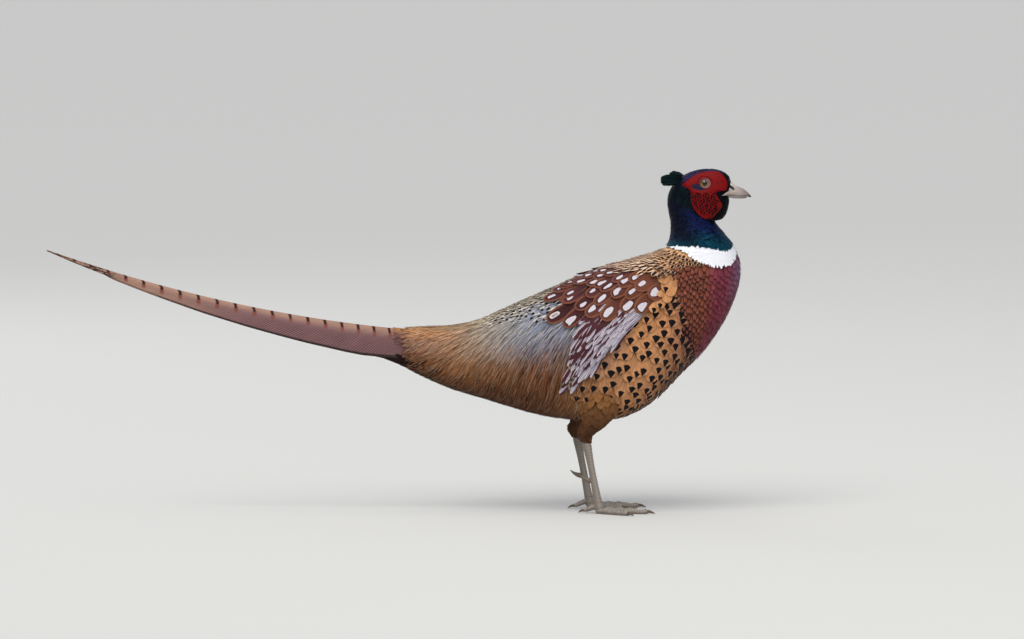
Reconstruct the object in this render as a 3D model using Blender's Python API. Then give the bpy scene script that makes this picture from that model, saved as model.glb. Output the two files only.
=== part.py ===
"""A male ring-necked pheasant, standing still, at life size.

The bird looks along +X, its left side is +Y and it stands on z = 0. The origin lies on the floor under the
middle of its length, from the tip of the tail to the tip of the bill. Its flesh is one surface, lofted over
ribs that join the line of the back to the line of the throat, breast and belly, and parted by thin cuts into
rump, torso, neck and head. Wings, tail and tail coverts are feathers of their own, joined at the root.
"""

import math

import bmesh
import bpy
import numpy as np

MM = 0.001

# Driving sizes, in metres
GAP = 0.3 * MM
HALF_LENGTH = 388.3 * MM
BILL_TIP_HEIGHT = 344.3 * MM
TAIL_TIP_HEIGHT = 287.0 * MM
EYE_X = 338.9 * MM
EYE_Z = 359.5 * MM
EYE_RADIUS = 6.4 * MM
EYE_SHOWN_RADIUS = 4.9 * MM
STANCE_X = 214.0 * MM
STANCE_HALF_WIDTH = 33.0 * MM
STANCE_STAGGER = 8.0 * MM
HEEL_HEIGHT = 79.0 * MM
ANKLE_HEIGHT = 15.0 * MM

# Where the flesh is parted, as places along the ribs
RUMP_START, RUMP_END, TORSO_END, NECK_END, HEAD_END = 1.5, 4.0, 14.5, 18.0, 26.0

# Each rib: back x, back z, front x, front z and half width, in millimetres, from the tail coverts to the bill
RIBS = MM * np.array(
    (
        (8.0, 201.3, 8.0, 157.0, 16.5),
        (35.2, 202.6, 35.2, 144.0, 24.0),
        (62.7, 204.0, 62.7, 133.0, 31.5),
        (90.2, 211.5, 92.4, 124.3, 39.0),
        (117.7, 223.5, 121.0, 115.5, 46.0),
        (147.4, 236.5, 150.7, 106.7, 52.0),
        (180.4, 250.8, 183.7, 100.7, 57.0),
        (213.4, 264.0, 216.7, 99.0, 61.0),
        (244.2, 274.0, 249.7, 103.0, 63.0),
        (268.4, 281.0, 282.7, 121.0, 62.0),
        (282.7, 285.5, 310.2, 149.0, 58.0),
        (290.4, 288.6, 337.7, 177.5, 53.0),
        (295.2, 291.8, 360.5, 212.0, 47.0),
        (298.0, 296.8, 373.5, 244.0, 40.5),
        (299.6, 303.6, 376.6, 267.5, 34.5),
        (300.1, 311.5, 371.0, 287.5, 29.0),
        (299.4, 320.7, 360.2, 303.0, 25.0),
        (297.4, 331.0, 351.5, 313.0, 22.3),
        (296.9, 341.6, 348.4, 317.6, 20.3),
        (299.8, 352.4, 350.6, 318.6, 18.7),
        (307.0, 362.2, 354.0, 319.2, 17.4),
        (318.0, 369.8, 357.2, 320.8, 16.6),
        (331.0, 374.0, 360.2, 324.4, 15.8),
        (344.3, 374.9, 362.2, 329.2, 14.4),
        (355.0, 373.0, 363.4, 334.4, 12.4),
        (362.6, 368.4, 364.0, 339.0, 10.0),
        (367.0, 361.6, 363.4, 343.0, 7.4),
    )
)
FULLNESS = 0.05
TORSO_AROUND = 30
FEATHER_THICK = 1.1 * MM
HEAD_AROUND = 22

COLOURS = {
    "breast": ((0.30, 0.09, 0.04), 0.55),
    "rump": ((0.33, 0.30, 0.22), 0.7),
    "neck": ((0.02, 0.06, 0.11), 0.35),
    "wattle": ((0.55, 0.01, 0.01), 0.6),
    "bill": ((0.62, 0.54, 0.42), 0.4),
    "eye": ((0.45, 0.20, 0.03), 0.1),
    "tuft": ((0.01, 0.03, 0.03), 0.4),
    "wing": ((0.28, 0.09, 0.05), 0.6),
    "tail": ((0.42, 0.27, 0.18), 0.6),
    "thigh": ((0.22, 0.12, 0.06), 0.8),
    "leg": ((0.33, 0.31, 0.28), 0.5),
}


# Small helpers


def spline(rows, place):
    """The Catmull-Rom curve through the rows, at a place counted in rows."""
    i = np.clip(np.floor(place).astype(int), 0, len(rows) - 2)
    t = (place - i)[..., None]
    padded = np.vstack([2 * rows[0] - rows[1], rows, 2 * rows[-1] - rows[-2]])
    a, b, c, d = (padded[i + k] for k in range(4))
    return b + 0.5 * t * (c - a + t * (2 * a - 5 * b + 4 * c - d + t * (3 * (b - c) + d - a)))


def unit(v):
    return v / np.linalg.norm(v, axis=-1, keepdims=True)


def mirrored(points, side):
    points = points.copy()
    points[..., 1] *= side
    return points


def body_point(place, turn, lift=0.0):
    """A point of the flesh: place counts ribs, turn goes from the back by the right side to the belly (pi)."""
    place, turn = np.broadcast_arrays(np.asarray(place, float), np.asarray(turn, float))
    point = bare_point(place, turn)
    if np.any(lift):
        point = point + np.asarray(lift)[..., None] * body_normal(place, turn)
    return point


def bare_point(place, turn):
    rib = spline(RIBS, place)
    swell = 1 + FULLNESS * np.sin(2 * turn) ** 2
    along = 0.5 - 0.5 * np.cos(turn) * swell
    x = rib[..., 0] + (rib[..., 2] - rib[..., 0]) * along
    z = rib[..., 1] + (rib[..., 3] - rib[..., 1]) * along
    return np.stack([x, -rib[..., 4] * np.sin(turn) * swell, z], -1)


def body_normal(place, turn):
    step = 1e-3
    ahead = bare_point(place + step, turn) - bare_point(place - step, turn)
    round_it = bare_point(place, turn + step) - bare_point(place, turn - step)
    return unit(np.cross(round_it, ahead))


def rib_axis(place):
    """The direction square to a rib's plane, towards the bill."""
    rib = spline(RIBS, np.asarray(float(place)))
    return unit(np.array((rib[1] - rib[3], 0.0, rib[2] - rib[0])))


def side_place(x, z):
    """The place and turn of the right side that lie at x and z seen from the side, by Newton's method."""
    x, z = np.broadcast_arrays(np.asarray(x, float), np.asarray(z, float))
    s_grid, t_grid = np.meshgrid(np.linspace(0, 26, 105), np.linspace(0.04, 0.96, 47) * math.pi)
    known = bare_point(s_grid.ravel(), t_grid.ravel())
    off = (known[:, 0] - x.reshape(-1, 1)) ** 2 + (known[:, 2] - z.reshape(-1, 1)) ** 2
    best = off.argmin(1)
    s, t = s_grid.ravel()[best], t_grid.ravel()[best]
    step = 1e-3
    for _ in range(6):
        here = bare_point(s, t)
        along = (bare_point(s + step, t) - here) / step
        down = (bare_point(s, t + step) - here) / step
        ex, ez = x.ravel() - here[:, 0], z.ravel() - here[:, 2]
        area = along[:, 0] * down[:, 2] - along[:, 2] * down[:, 0]
        s = s + np.clip((ex * down[:, 2] - ez * down[:, 0]) / area, -0.5, 0.5)
        t = t + np.clip((along[:, 0] * ez - along[:, 2] * ex) / area, -0.2, 0.2)
        t = np.clip(t, 0.03, math.pi - 0.03)
    return s.reshape(x.shape), t.reshape(x.shape)


def make_collection(name):
    found = bpy.data.collections.new(name)
    bpy.context.scene.collection.children.link(found)
    return found


def make_object(name, points, faces, collection=None):
    """A mesh object from points and faces, with its faces turned outwards."""
    mesh = bpy.data.meshes.new(name)
    mesh.from_pydata([tuple(p) for p in np.asarray(points)], [], faces)
    work = bmesh.new()
    work.from_mesh(mesh)
    bmesh.ops.recalc_face_normals(work, faces=work.faces)
    work.to_mesh(mesh)
    work.free()
    made = bpy.data.objects.new(name, mesh)
    (collection or PIECES).objects.link(made)
    return made


def loft(name, rings):
    """A closed body over rings of equal count, each end closed by a fan round its middle."""
    count, around = rings.shape[:2]
    points = np.vstack([rings.reshape(-1, 3), rings[0].mean(0), rings[-1].mean(0)])
    faces = []
    for i in range(count - 1):
        for j in range(around):
            k = (j + 1) % around
            faces.append((i * around + j, i * around + k, (i + 1) * around + k, (i + 1) * around + j))
    last = (count - 1) * around
    for j in range(around):
        k = (j + 1) % around
        faces.append((count * around, k, j))
        faces.append((count * around + 1, last + j, last + k))
    return make_object(name, points, faces)


def slab(name, top, bottom):
    """A thin closed sheet between two grids of points, split into triangles alike on both faces."""
    rows, columns = top.shape[:2]
    points = np.vstack([top.reshape(-1, 3), bottom.reshape(-1, 3)])
    under = rows * columns
    faces = []
    for i in range(rows - 1):
        for j in range(columns - 1):
            a, b = i * columns + j, i * columns + j + 1
            c, d = b + columns, a + columns
            faces += [(a, b, c), (a, c, d)]
            faces += [(under + a, under + c, under + b), (under + a, under + d, under + c)]
    rim = [j for j in range(columns)]
    rim += [i * columns + columns - 1 for i in range(1, rows)]
    rim += [(rows - 1) * columns + j for j in range(columns - 2, -1, -1)]
    rim += [i * columns for i in range(rows - 2, 0, -1)]
    for a, b in zip(rim, rim[1:] + rim[:1]):
        faces += [(a, under + a, under + b), (a, under + b, b)]
    return make_object(name, points, faces)


def tube(name, path, radii, around=8, floor=False, across=(0.0, 1.0, 0.0)):
    """A round body along a path of points. With floor set, what would lie under z = 0 is a flat on it."""
    path, radii = np.asarray(path, float), np.asarray(radii, float)
    ahead = unit(np.gradient(path, axis=0))
    side = unit(np.cross(ahead, np.asarray(across)))
    up = np.cross(side, ahead)
    turn = np.linspace(0, 2 * math.pi, around, endpoint=False)[None, :, None]
    if floor:
        turn = turn - math.pi / 2 + math.pi / around
    rings = path[:, None] + radii[:, None, None] * (np.cos(turn) * up[:, None] + np.sin(turn) * side[:, None])
    if floor:
        rings[..., 2] = np.maximum(rings[..., 2], 0.0)
    return loft(name, rings)


def flesh_rings(start, end, around=TORSO_AROUND, lift=0.0):
    """Rings of the flesh, two to each rib, so that every use of it has the same facets."""
    place = np.linspace(start, end, int(round(2 * (end - start))) + 1)[:, None]
    turn = np.linspace(0, 2 * math.pi, around, endpoint=False)[None, :]
    return body_point(place, turn, lift)


def apply_modifiers(obj):
    graph = bpy.context.evaluated_depsgraph_get()
    mesh = bpy.data.meshes.new_from_object(obj.evaluated_get(graph))
    old, obj.data = obj.data, mesh
    obj.modifiers.clear()
    bpy.data.meshes.remove(old)


def boolean(obj, operation, others, solver="MANIFOLD"):
    """One Boolean of an object with several others, applied, after which the others are removed."""
    group = make_collection("pieces_of_" + obj.name)
    for other in others:
        for held in list(other.users_collection):
            held.objects.unlink(other)
        group.objects.link(other)
    modifier = obj.modifiers.new("join", "BOOLEAN")
    modifier.operation = operation
    modifier.operand_type = "COLLECTION"
    modifier.collection = group
    modifier.solver = solver
    bpy.context.view_layer.update()
    apply_modifiers(obj)
    for other in others:
        bpy.data.objects.remove(other)
    bpy.data.collections.remove(group)


def keep_largest(obj):
    """Drops every closed surface of the mesh but the one that holds the most."""
    work = bmesh.new()
    work.from_mesh(obj.data)
    left, groups = set(work.faces), []
    while left:
        group, edge = set(), [left.pop()]
        while edge:
            face = edge.pop()
            group.add(face)
            near = {f for e in face.edges for f in e.link_faces} & left
            left -= near
            edge += near
        groups.append(group)

    def held(group):
        return abs(sum(f.calc_center_median().dot(f.normal) * f.calc_area() for f in group))

    groups.sort(key=held, reverse=True)
    bmesh.ops.delete(work, geom=[f for g in groups[1:] for f in g], context="FACES")
    bmesh.ops.delete(work, geom=[v for v in work.verts if not v.link_faces], context="VERTS")
    work.to_mesh(obj.data)
    work.free()


def finish(obj, colour, smooth=True):
    """Puts a made piece among the bird's nodes, with its material."""
    for held in list(obj.users_collection):
        held.objects.unlink(obj)
    BIRD.objects.link(obj)
    material = bpy.data.materials.get(colour) or bpy.data.materials.new(colour)
    material.use_nodes = True
    shader = material.node_tree.nodes["Principled BSDF"]
    base, rough = COLOURS[colour]
    shader.inputs["Base Color"].default_value = (*base, 1.0)
    shader.inputs["Roughness"].default_value = rough
    shader.inputs["Metallic"].default_value = 0.0
    obj.data.materials.clear()
    obj.data.materials.append(material)
    if smooth:
        obj.data.shade_smooth()
        obj.data.set_sharp_from_angle(angle=math.radians(40))
    return obj


def clear_of_flesh(obj, start=0.0, end=26.0, around=TORSO_AROUND, others=()):
    """Cuts a piece back to a gap's width from the flesh that it grows from."""
    grown = loft("grown_flesh", flesh_rings(start, end, around, GAP))
    boolean(obj, "DIFFERENCE", [grown, *others])
    keep_largest(obj)


def fuse(name, pieces, solver="MANIFOLD"):
    """Joins closed pieces into one body, and names it."""
    body, others = pieces[0], pieces[1:]
    if others:
        boolean(body, "UNION", others, solver)
    keep_largest(body)
    body.name = name
    return body


# Flesh


def flesh(name, start, end, around=TORSO_AROUND):
    """A length of the flesh. Each length starts a gap's width past the one behind it."""
    rings = flesh_rings(start, end, around)
    rings[0] = rings[0] + GAP * rib_axis(start)
    return loft(name, rings)


# Feathers


def feather_shape(u, root=0.5, tip=0.4):
    """Half width along a feather, as a share of the widest: root, full middle, rounded tip."""
    start, end = math.asin(root**1.7) / math.pi, 1 - math.asin(tip**1.7) / math.pi
    return np.sin(math.pi * (start + (end - start) * u)) ** (1 / 1.7)


def vane(name, line, side, normal, half_width, thickness, droop=0.0, roll=0.0):
    """A feather's vane: three columns of points on a line, its edges drooping, and rolled about the shaft."""
    across = np.array((-1.0, 0.0, 1.0))[None, :, None]
    top = line[:, None] + side[:, None] * across * half_width[:, None, None]
    lean = roll * np.linspace(0, 1, len(line))[:, None, None]
    top = top + normal[:, None] * (lean * across - droop * across**2)
    return slab(name, top, top - normal[:, None] * thickness)


def laid_feather(
    name, root, tip, half_width, height=None, steps=4, roll=0.0, side=-1, blunt=0.45, rise=1.0
):
    """A feather laid on the flesh, from one (place, turn) to another. side is -1 on the right, 1 on the left.

    Its root is sunk, and its shaft rises to its tip, over a height that is a function of place and turn, so that
    the tip of each feather passes over the root of the next.
    """
    u = np.linspace(0, 1, steps)
    place = root[0] + (tip[0] - root[0]) * u
    turn = root[1] + (tip[1] - root[1]) * u
    lift = MM * np.interp(u, (0, 0.3, 0.65, 1), (-2.4, 1.7 * rise, 2.6 * rise, 3.8 * rise))
    if height is not None:
        lift = lift + height(place, turn)
    line = mirrored(body_point(place, math.pi * turn, lift), -side)
    normal = mirrored(body_normal(place, math.pi * turn), -side)
    across = unit(np.cross(normal, unit(np.gradient(line, axis=0))))
    widths = half_width * feather_shape(u, tip=blunt)
    return vane(name, line, across, normal, widths, FEATHER_THICK, 0.045 * half_width, roll * side)


# Wing: a core that hugs the flank, on which the tiers of feathers are rooted

WING_FRONT = np.array(
    (
        (10.2, 0.35), (9.6, 0.40), (9.1, 0.445), (8.6, 0.48), (8.1, 0.515),
        (7.7, 0.545), (7.4, 0.565), (7.2, 0.58), (7.05, 0.59),
    )
)
WING_REAR = np.array(
    (
        (10.2, 0.22), (9.3, 0.17), (8.2, 0.17), (7.2, 0.19), (6.5, 0.25),
        (6.3, 0.33), (6.4, 0.41), (6.6, 0.49), (6.95, 0.575),
    )
)
WING_RISE = 4.5 * MM
WING_SUNK = 2.0 * MM


def wing_height(place, turn):
    """How far the wing's core stands off the flesh: a long bulge from the shoulder to the folded tip."""
    start, end = np.array((9.3 * 29, 0.28 * 190)), np.array((7.0 * 29, 0.47 * 190))
    at = np.stack([np.asarray(place) * 29, np.asarray(turn) * 190], -1)
    share = np.clip(((at - start) @ (end - start)) / ((end - start) @ (end - start)), 0, 1)
    off = np.linalg.norm(at - start - share[..., None] * (end - start), axis=-1)
    reach = 36 - 16 * share
    return WING_RISE * np.sqrt(np.clip(1 - (off / reach) ** 2, 0, 1))


def wing_core(side):
    across = np.linspace(0, 1, 5)[None, :, None]
    chart = WING_FRONT[:, None] * (1 - across) + WING_REAR[:, None] * across
    place, turn = chart[..., 0], chart[..., 1]
    lift = np.maximum(wing_height(place, turn) - 0.9 * MM, 0.6 * MM)
    top = body_point(place, math.pi * turn, lift)
    bottom = body_point(place, math.pi * turn, np.full_like(lift, -WING_SUNK))
    return slab("wing_core", mirrored(top, -side), mirrored(bottom, -side))


# The tiers of a wing, lowest first. Each row: places and turns of the first and last tip, and of the first
# and last root; how many; half width; how far each feather is rolled over its neighbour; rows of points
WING_TIERS = (
    ((5.95, 0.70), (6.3, 0.51), (7.5, 0.545), (7.3, 0.43), 4, 7.2 * MM, 1.3 * MM, 5),
    ((6.95, 0.61), (7.2, 0.45), (8.15, 0.49), (8.15, 0.385), 4, 6.2 * MM, 1.1 * MM, 4),
    ((7.75, 0.55), (7.95, 0.43), (8.85, 0.45), (8.9, 0.36), 3, 7.2 * MM, 1.0 * MM, 4),
    ((8.5, 0.485), (8.85, 0.40), (9.5, 0.40), (9.55, 0.345), 2, 8.5 * MM, 0.6 * MM, 4),
)
SCAPULARS = (
    ((5.5, 0.36), (6.4, 0.415), (7.3, 0.41), (8.2, 0.40), (9.15, 0.37)),
    ((6.0, 0.285), (6.95, 0.33), (7.9, 0.325), (8.85, 0.30)),
    ((6.6, 0.21), (7.6, 0.25), (8.6, 0.24)),
)


def make_wing(name, side):
    pieces = [wing_core(side)]
    for first, last, first_root, last_root, count, half, roll, steps in WING_TIERS:
        for share in np.linspace(0, 1, count):
            tip = (1 - share) * np.array(first) + share * np.array(last)
            root = (1 - share) * np.array(first_root) + share * np.array(last_root)
            rise = 0.75 if steps == 5 else 1.0
            pieces.append(laid_feather("flight", root, tip, half, wing_height, steps, roll, side, 0.5, rise))
    for row in SCAPULARS:
        for tip in row:
            root = (tip[0] + 1.15, tip[1] - 0.06)
            pieces.append(laid_feather("scapular", root, tip, 8.4 * MM, wing_height, 4, 0.3 * MM, side, 0.5, 1.1))
    body = fuse(name, pieces)
    clear_of_flesh(body, 4.0, 14.0)
    finish(body, "wing")


# Rump: the flesh with its coverts, which close round the root of the tail.
# Each tier: tip, root, how many, half width
RUMP_TIERS = (
    (0.02, 2.1, 10, 8.8 * MM),
    (1.25, 3.3, 8, 14.5 * MM),
)


def make_rump():
    pieces = [flesh("rump", RUMP_START, RUMP_END)]
    for tier, (tip, root, count, half) in enumerate(RUMP_TIERS):
        for k in range(count):
            turn = 2 * (k + 0.5 * (tier % 2 + 1)) / count
            end = (tip + 0.12 * (k % 2), turn)
            pieces.append(laid_feather("covert", (root, turn), end, half, roll=0.9 * MM, rise=0.8))
    finish(fuse("rump", pieces), "rump")


# Tail: nine pairs of feathers, nested like roofs under the middle pair, on a root that fills the rump's end

TAIL_TIPS = MM * np.array((0.0, 73.7, 143.3, 198.3, 243.3, 280.3, 308.3, 330.3, 349.8)) - HALF_LENGTH
TAIL_ROWS = (9, 7, 6, 5, 5, 4, 4, 3, 3)
TAIL_ROOT = 36.0 * MM
TAIL_STEP = 1.9 * MM
RIDGE_START = (11.0 * MM, 197.0 * MM)
RIDGE_SLOPE = 0.0912
# The roof's drop and half width, by the distance from the tip
TAIL_FROM_TIP = MM * np.array((0.0, 30.0, 66.0, 120.0, 175.0, 230.0, 285.0, 330.0, 390.0, 425.0))
TAIL_DROP = MM * np.array((1.0, 2.9, 4.8, 9.1, 13.2, 16.3, 18.5, 18.7, 17.0, 15.0))
TAIL_HALF = MM * np.array((1.0, 2.7, 4.5, 7.5, 10.5, 12.5, 14.0, 14.5, 12.0, 9.5))


def tail_ridge(x):
    """Height of the ridge, which leaves the rump at a slope and curves up to the tip."""
    back = RIDGE_START[0] - x
    length = RIDGE_START[0] + HALF_LENGTH
    bend = (TAIL_TIP_HEIGHT - RIDGE_START[1] - RIDGE_SLOPE * length) / length**2
    return RIDGE_START[1] + RIDGE_SLOPE * back + bend * back**2


def roof_width(x):
    return np.interp(x - TAIL_TIPS[0], TAIL_FROM_TIP, TAIL_HALF)


def roof(x, y):
    """Height of the top of the tail: two slopes that steepen outwards from the ridge."""
    out = abs(y) / roof_width(x)
    return tail_ridge(x) - np.interp(x - TAIL_TIPS[0], TAIL_FROM_TIP, TAIL_DROP) * (0.35 * out + 0.65 * out**2)


def tail_block():
    """The root of the tail, which faces the end of the rump."""
    x = MM * np.array((48.0, 36.0, 25.0, 14.0))
    top = MM * np.array((194.0, 195.4, 195.2, 194.0))
    bottom = MM * np.array((164.0, 165.0, 168.0, 174.0))
    half = MM * np.array((12.0, 11.0, 9.5, 7.0))
    turn = np.linspace(0, 2 * math.pi, 16, endpoint=False)
    rings = np.zeros((4, 16, 3))
    rings[..., 0] = x[:, None]
    rings[..., 1] = half[:, None] * np.sin(turn)
    rings[..., 2] = ((top + bottom) / 2)[:, None] + ((top - bottom) / 2)[:, None] * np.cos(turn)
    rings[0, :, 0] = RUMP_FACE_X - GAP
    return loft("tail_block", rings)


def tail_feather(pair, side):
    """One feather under the roof. The middle pair is one whole roof above the other."""
    count = TAIL_ROWS[pair]
    tip = TAIL_TIPS[pair]
    if pair == 0 and side > 0:
        tip = tip + 13 * MM
    u = np.linspace(0, 1, count)
    x = TAIL_ROOT + (tip - TAIL_ROOT) * u
    shape = np.clip((x - tip) / (60 * MM), 0.0, 1.0) ** 0.6
    wide = roof_width(x)
    if pair == 0:
        across = np.linspace(-1, 1, 5)
        y = (wide * (0.12 + 0.88 * shape) if side > 0 else wide)[:, None] * across
        level = 0.75 if side > 0 else 0.0
    else:
        middle, reach = 0.53 * side, 0.49
        y = wide[:, None] * (middle + reach * (0.15 + 0.85 * shape)[:, None] * np.array((-1, 0, 1)))
        level = 0.75 + pair
    x = np.broadcast_to(x[:, None], y.shape)
    top = np.stack([x, y, roof(x, y) - level * TAIL_STEP], -1)
    thick = np.interp(u, (0, 0.8, 1), (1.15, 1.1, 0.6))[:, None] * MM
    bottom = top.copy()
    bottom[..., 2] -= thick
    return slab("tail_feather", top, bottom)


def make_tail():
    pieces = [tail_block()]
    for pair in range(9):
        for side in (-1, 1):
            pieces.append(tail_feather(pair, side))
    finish(fuse("tail", pieces), "tail")


# Bill

# Stations of the bill, counted from its tip. The first is fitted to the face
BILL_X = HALF_LENGTH - MM * np.array((21.3, 17.8, 12.3, 7.3, 3.3, 0.0))
CULMEN_Z = BILL_TIP_HEIGHT + MM * np.array((17.1, 15.3, 11.9, 8.1, 4.5, 0.3))
MOUTH_Z = BILL_TIP_HEIGHT + MM * np.array((2.1, 1.7, 1.3, 0.8, 0.4, -0.3))
UPPER_HALF = MM * np.array((6.8, 6.2, 5.0, 3.7, 2.3, 0.5))
LOWER_X = HALF_LENGTH - MM * np.array((23.3, 19.3, 14.3, 9.3, 4.7))
LOWER_Z = BILL_TIP_HEIGHT - MM * np.array((0.8, 2.7, 3.3, 2.9, 1.7))
LOWER_HALF = MM * np.array((5.9, 5.3, 4.4, 3.1, 0.9))


def face_x(z, off):
    """x of the head's front face at a height, moved off it towards the bill."""
    rib = RIBS[-1]
    slope = (rib[0] - rib[2]) / (rib[1] - rib[3])
    return rib[2] + slope * (z - rib[3]) + off


def bill_rings(stations, half, crown, keel, power=1.0):
    """Sections of a jaw: an arch from one edge of the mouth over the crown to the other, and the flat mouth."""
    turn = np.linspace(0, math.pi, 9)
    rings = []
    for i, x in enumerate(stations):
        arch_z = keel[i] + (crown[i] - keel[i]) * np.sin(turn) ** power
        arch = np.stack([np.full(9, x), half[i] * np.cos(turn), arch_z], -1)
        y = half[i] * np.array((-0.6, 0.0, 0.6))
        flat = np.stack([np.full(3, x), y, np.full(3, keel[i])], -1)
        rings.append(np.vstack([arch, flat]))
    rings = np.array(rings)
    rings[0, :, 0] = face_x(rings[0, :, 2], GAP)
    return rings


def operculum(side):
    """The soft lid over a nostril."""
    x = (367.3, 370.0, 373.5, 376.0)
    y = side * np.array((4.6, 4.9, 4.2, 3.4))
    z = (358.4, 357.8, 355.6, 354.0)
    return tube("operculum", MM * np.stack([x, y, z], -1), MM * np.array((0.8, 1.7, 1.5, 0.5)), 8)


def nostril(side):
    """A slot under the lid, which slopes down towards the tip."""
    turn = np.linspace(0, 2 * math.pi, 6, endpoint=False)
    rings = np.zeros((2, 6, 3))
    for i, (y, length, height) in enumerate(((8.0, 3.4, 1.3), (3.6, 2.4, 0.9))):
        rings[i, :, 0] = 371.3 + length * np.cos(turn)
        rings[i, :, 1] = side * y
        rings[i, :, 2] = 353.4 + height * np.sin(turn) - 0.35 * length * np.cos(turn)
    return loft("nostril", MM * rings)


def make_bill():
    upper = loft("bill_upper", bill_rings(BILL_X, UPPER_HALF, CULMEN_Z, MOUTH_Z))
    upper = fuse("bill_upper", [upper, operculum(-1), operculum(1)], "EXACT")
    boolean(upper, "DIFFERENCE", [nostril(-1), nostril(1)])
    keep_largest(upper)
    finish(upper, "bill")
    lower = bill_rings(LOWER_X, LOWER_HALF, LOWER_Z, MOUTH_Z[:5] - 0.35 * MM, 0.8)
    finish(loft("bill_lower", lower), "bill")


# Head: eyes in sockets, wattles with lids, ear tufts

EYE_PLACE, EYE_TURN = side_place(EYE_X, EYE_Z)
EYE_Y = -float(body_point(EYE_PLACE, EYE_TURN)[1]) + 0.5 * MM - math.sqrt(EYE_RADIUS**2 - EYE_SHOWN_RADIUS**2)
# The wattle's outline round the eye, as x and z in millimetres from the eye's centre
WATTLE = MM * np.array(
    (
        (24.2, -1.4), (22.5, -7.5), (15.6, -8.4), (12.0, -10.8), (15.0, -16.3), (18.7, -23.8),
        (14.0, -31.0), (7.0, -37.8), (-2.0, -37.2), (-9.4, -30.4), (-14.3, -20.9), (-15.3, -12.2),
        (-16.5, -6.8), (-24.5, -1.4), (-21.5, 1.7), (-13.8, 7.2), (-6.1, 11.3), (3.0, 12.9),
        (14.0, 12.5), (22.0, 5.6),
    )
)


def sphere(name, centre, radius, around=14, rings=7):
    bead = np.linspace(0, math.pi, rings + 2)[1:-1]
    turn = np.linspace(0, 2 * math.pi, around, endpoint=False)
    ring = np.zeros((rings, around, 3))
    ring[..., 0] = np.sin(bead)[:, None] * np.cos(turn)
    ring[..., 2] = np.sin(bead)[:, None] * np.sin(turn)
    ring[..., 1] = np.cos(bead)[:, None]
    made = loft(name, ring * radius)
    made.data.vertices[rings * around].co = (0.0, radius, 0.0)
    made.data.vertices[rings * around + 1].co = (0.0, -radius, 0.0)
    for vertex in made.data.vertices:
        vertex.co.x += centre[0]
        vertex.co.y += centre[1]
        vertex.co.z += centre[2]
    return made


def gape():
    """The corner of the mouth, a slit from the face back into the head."""
    corners = MM * np.array(((361.0, 347.0), (371.0, 346.4), (371.0, 345.4), (361.0, 346.2)))
    rings = np.zeros((2, 4, 3))
    rings[..., 0] = corners[:, 0]
    rings[..., 1] = np.array((-20.0, 20.0))[:, None] * MM
    rings[..., 2] = corners[:, 1]
    return loft("gape", rings)


def make_head():
    head = flesh("head", NECK_END, HEAD_END, HEAD_AROUND)
    sockets = [sphere("socket", (EYE_X, side * EYE_Y, EYE_Z), EYE_RADIUS + GAP) for side in (-1, 1)]
    boolean(head, "DIFFERENCE", sockets + [gape()])
    keep_largest(head)
    finish(head, "neck")
    for name, side in (("right", -1), ("left", 1)):
        finish(sphere("eye_" + name, (EYE_X, side * EYE_Y, EYE_Z), EYE_RADIUS), "eye")
        make_wattle("wattle_" + name, side)
        make_tuft("ear_tuft_" + name, side)


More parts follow.
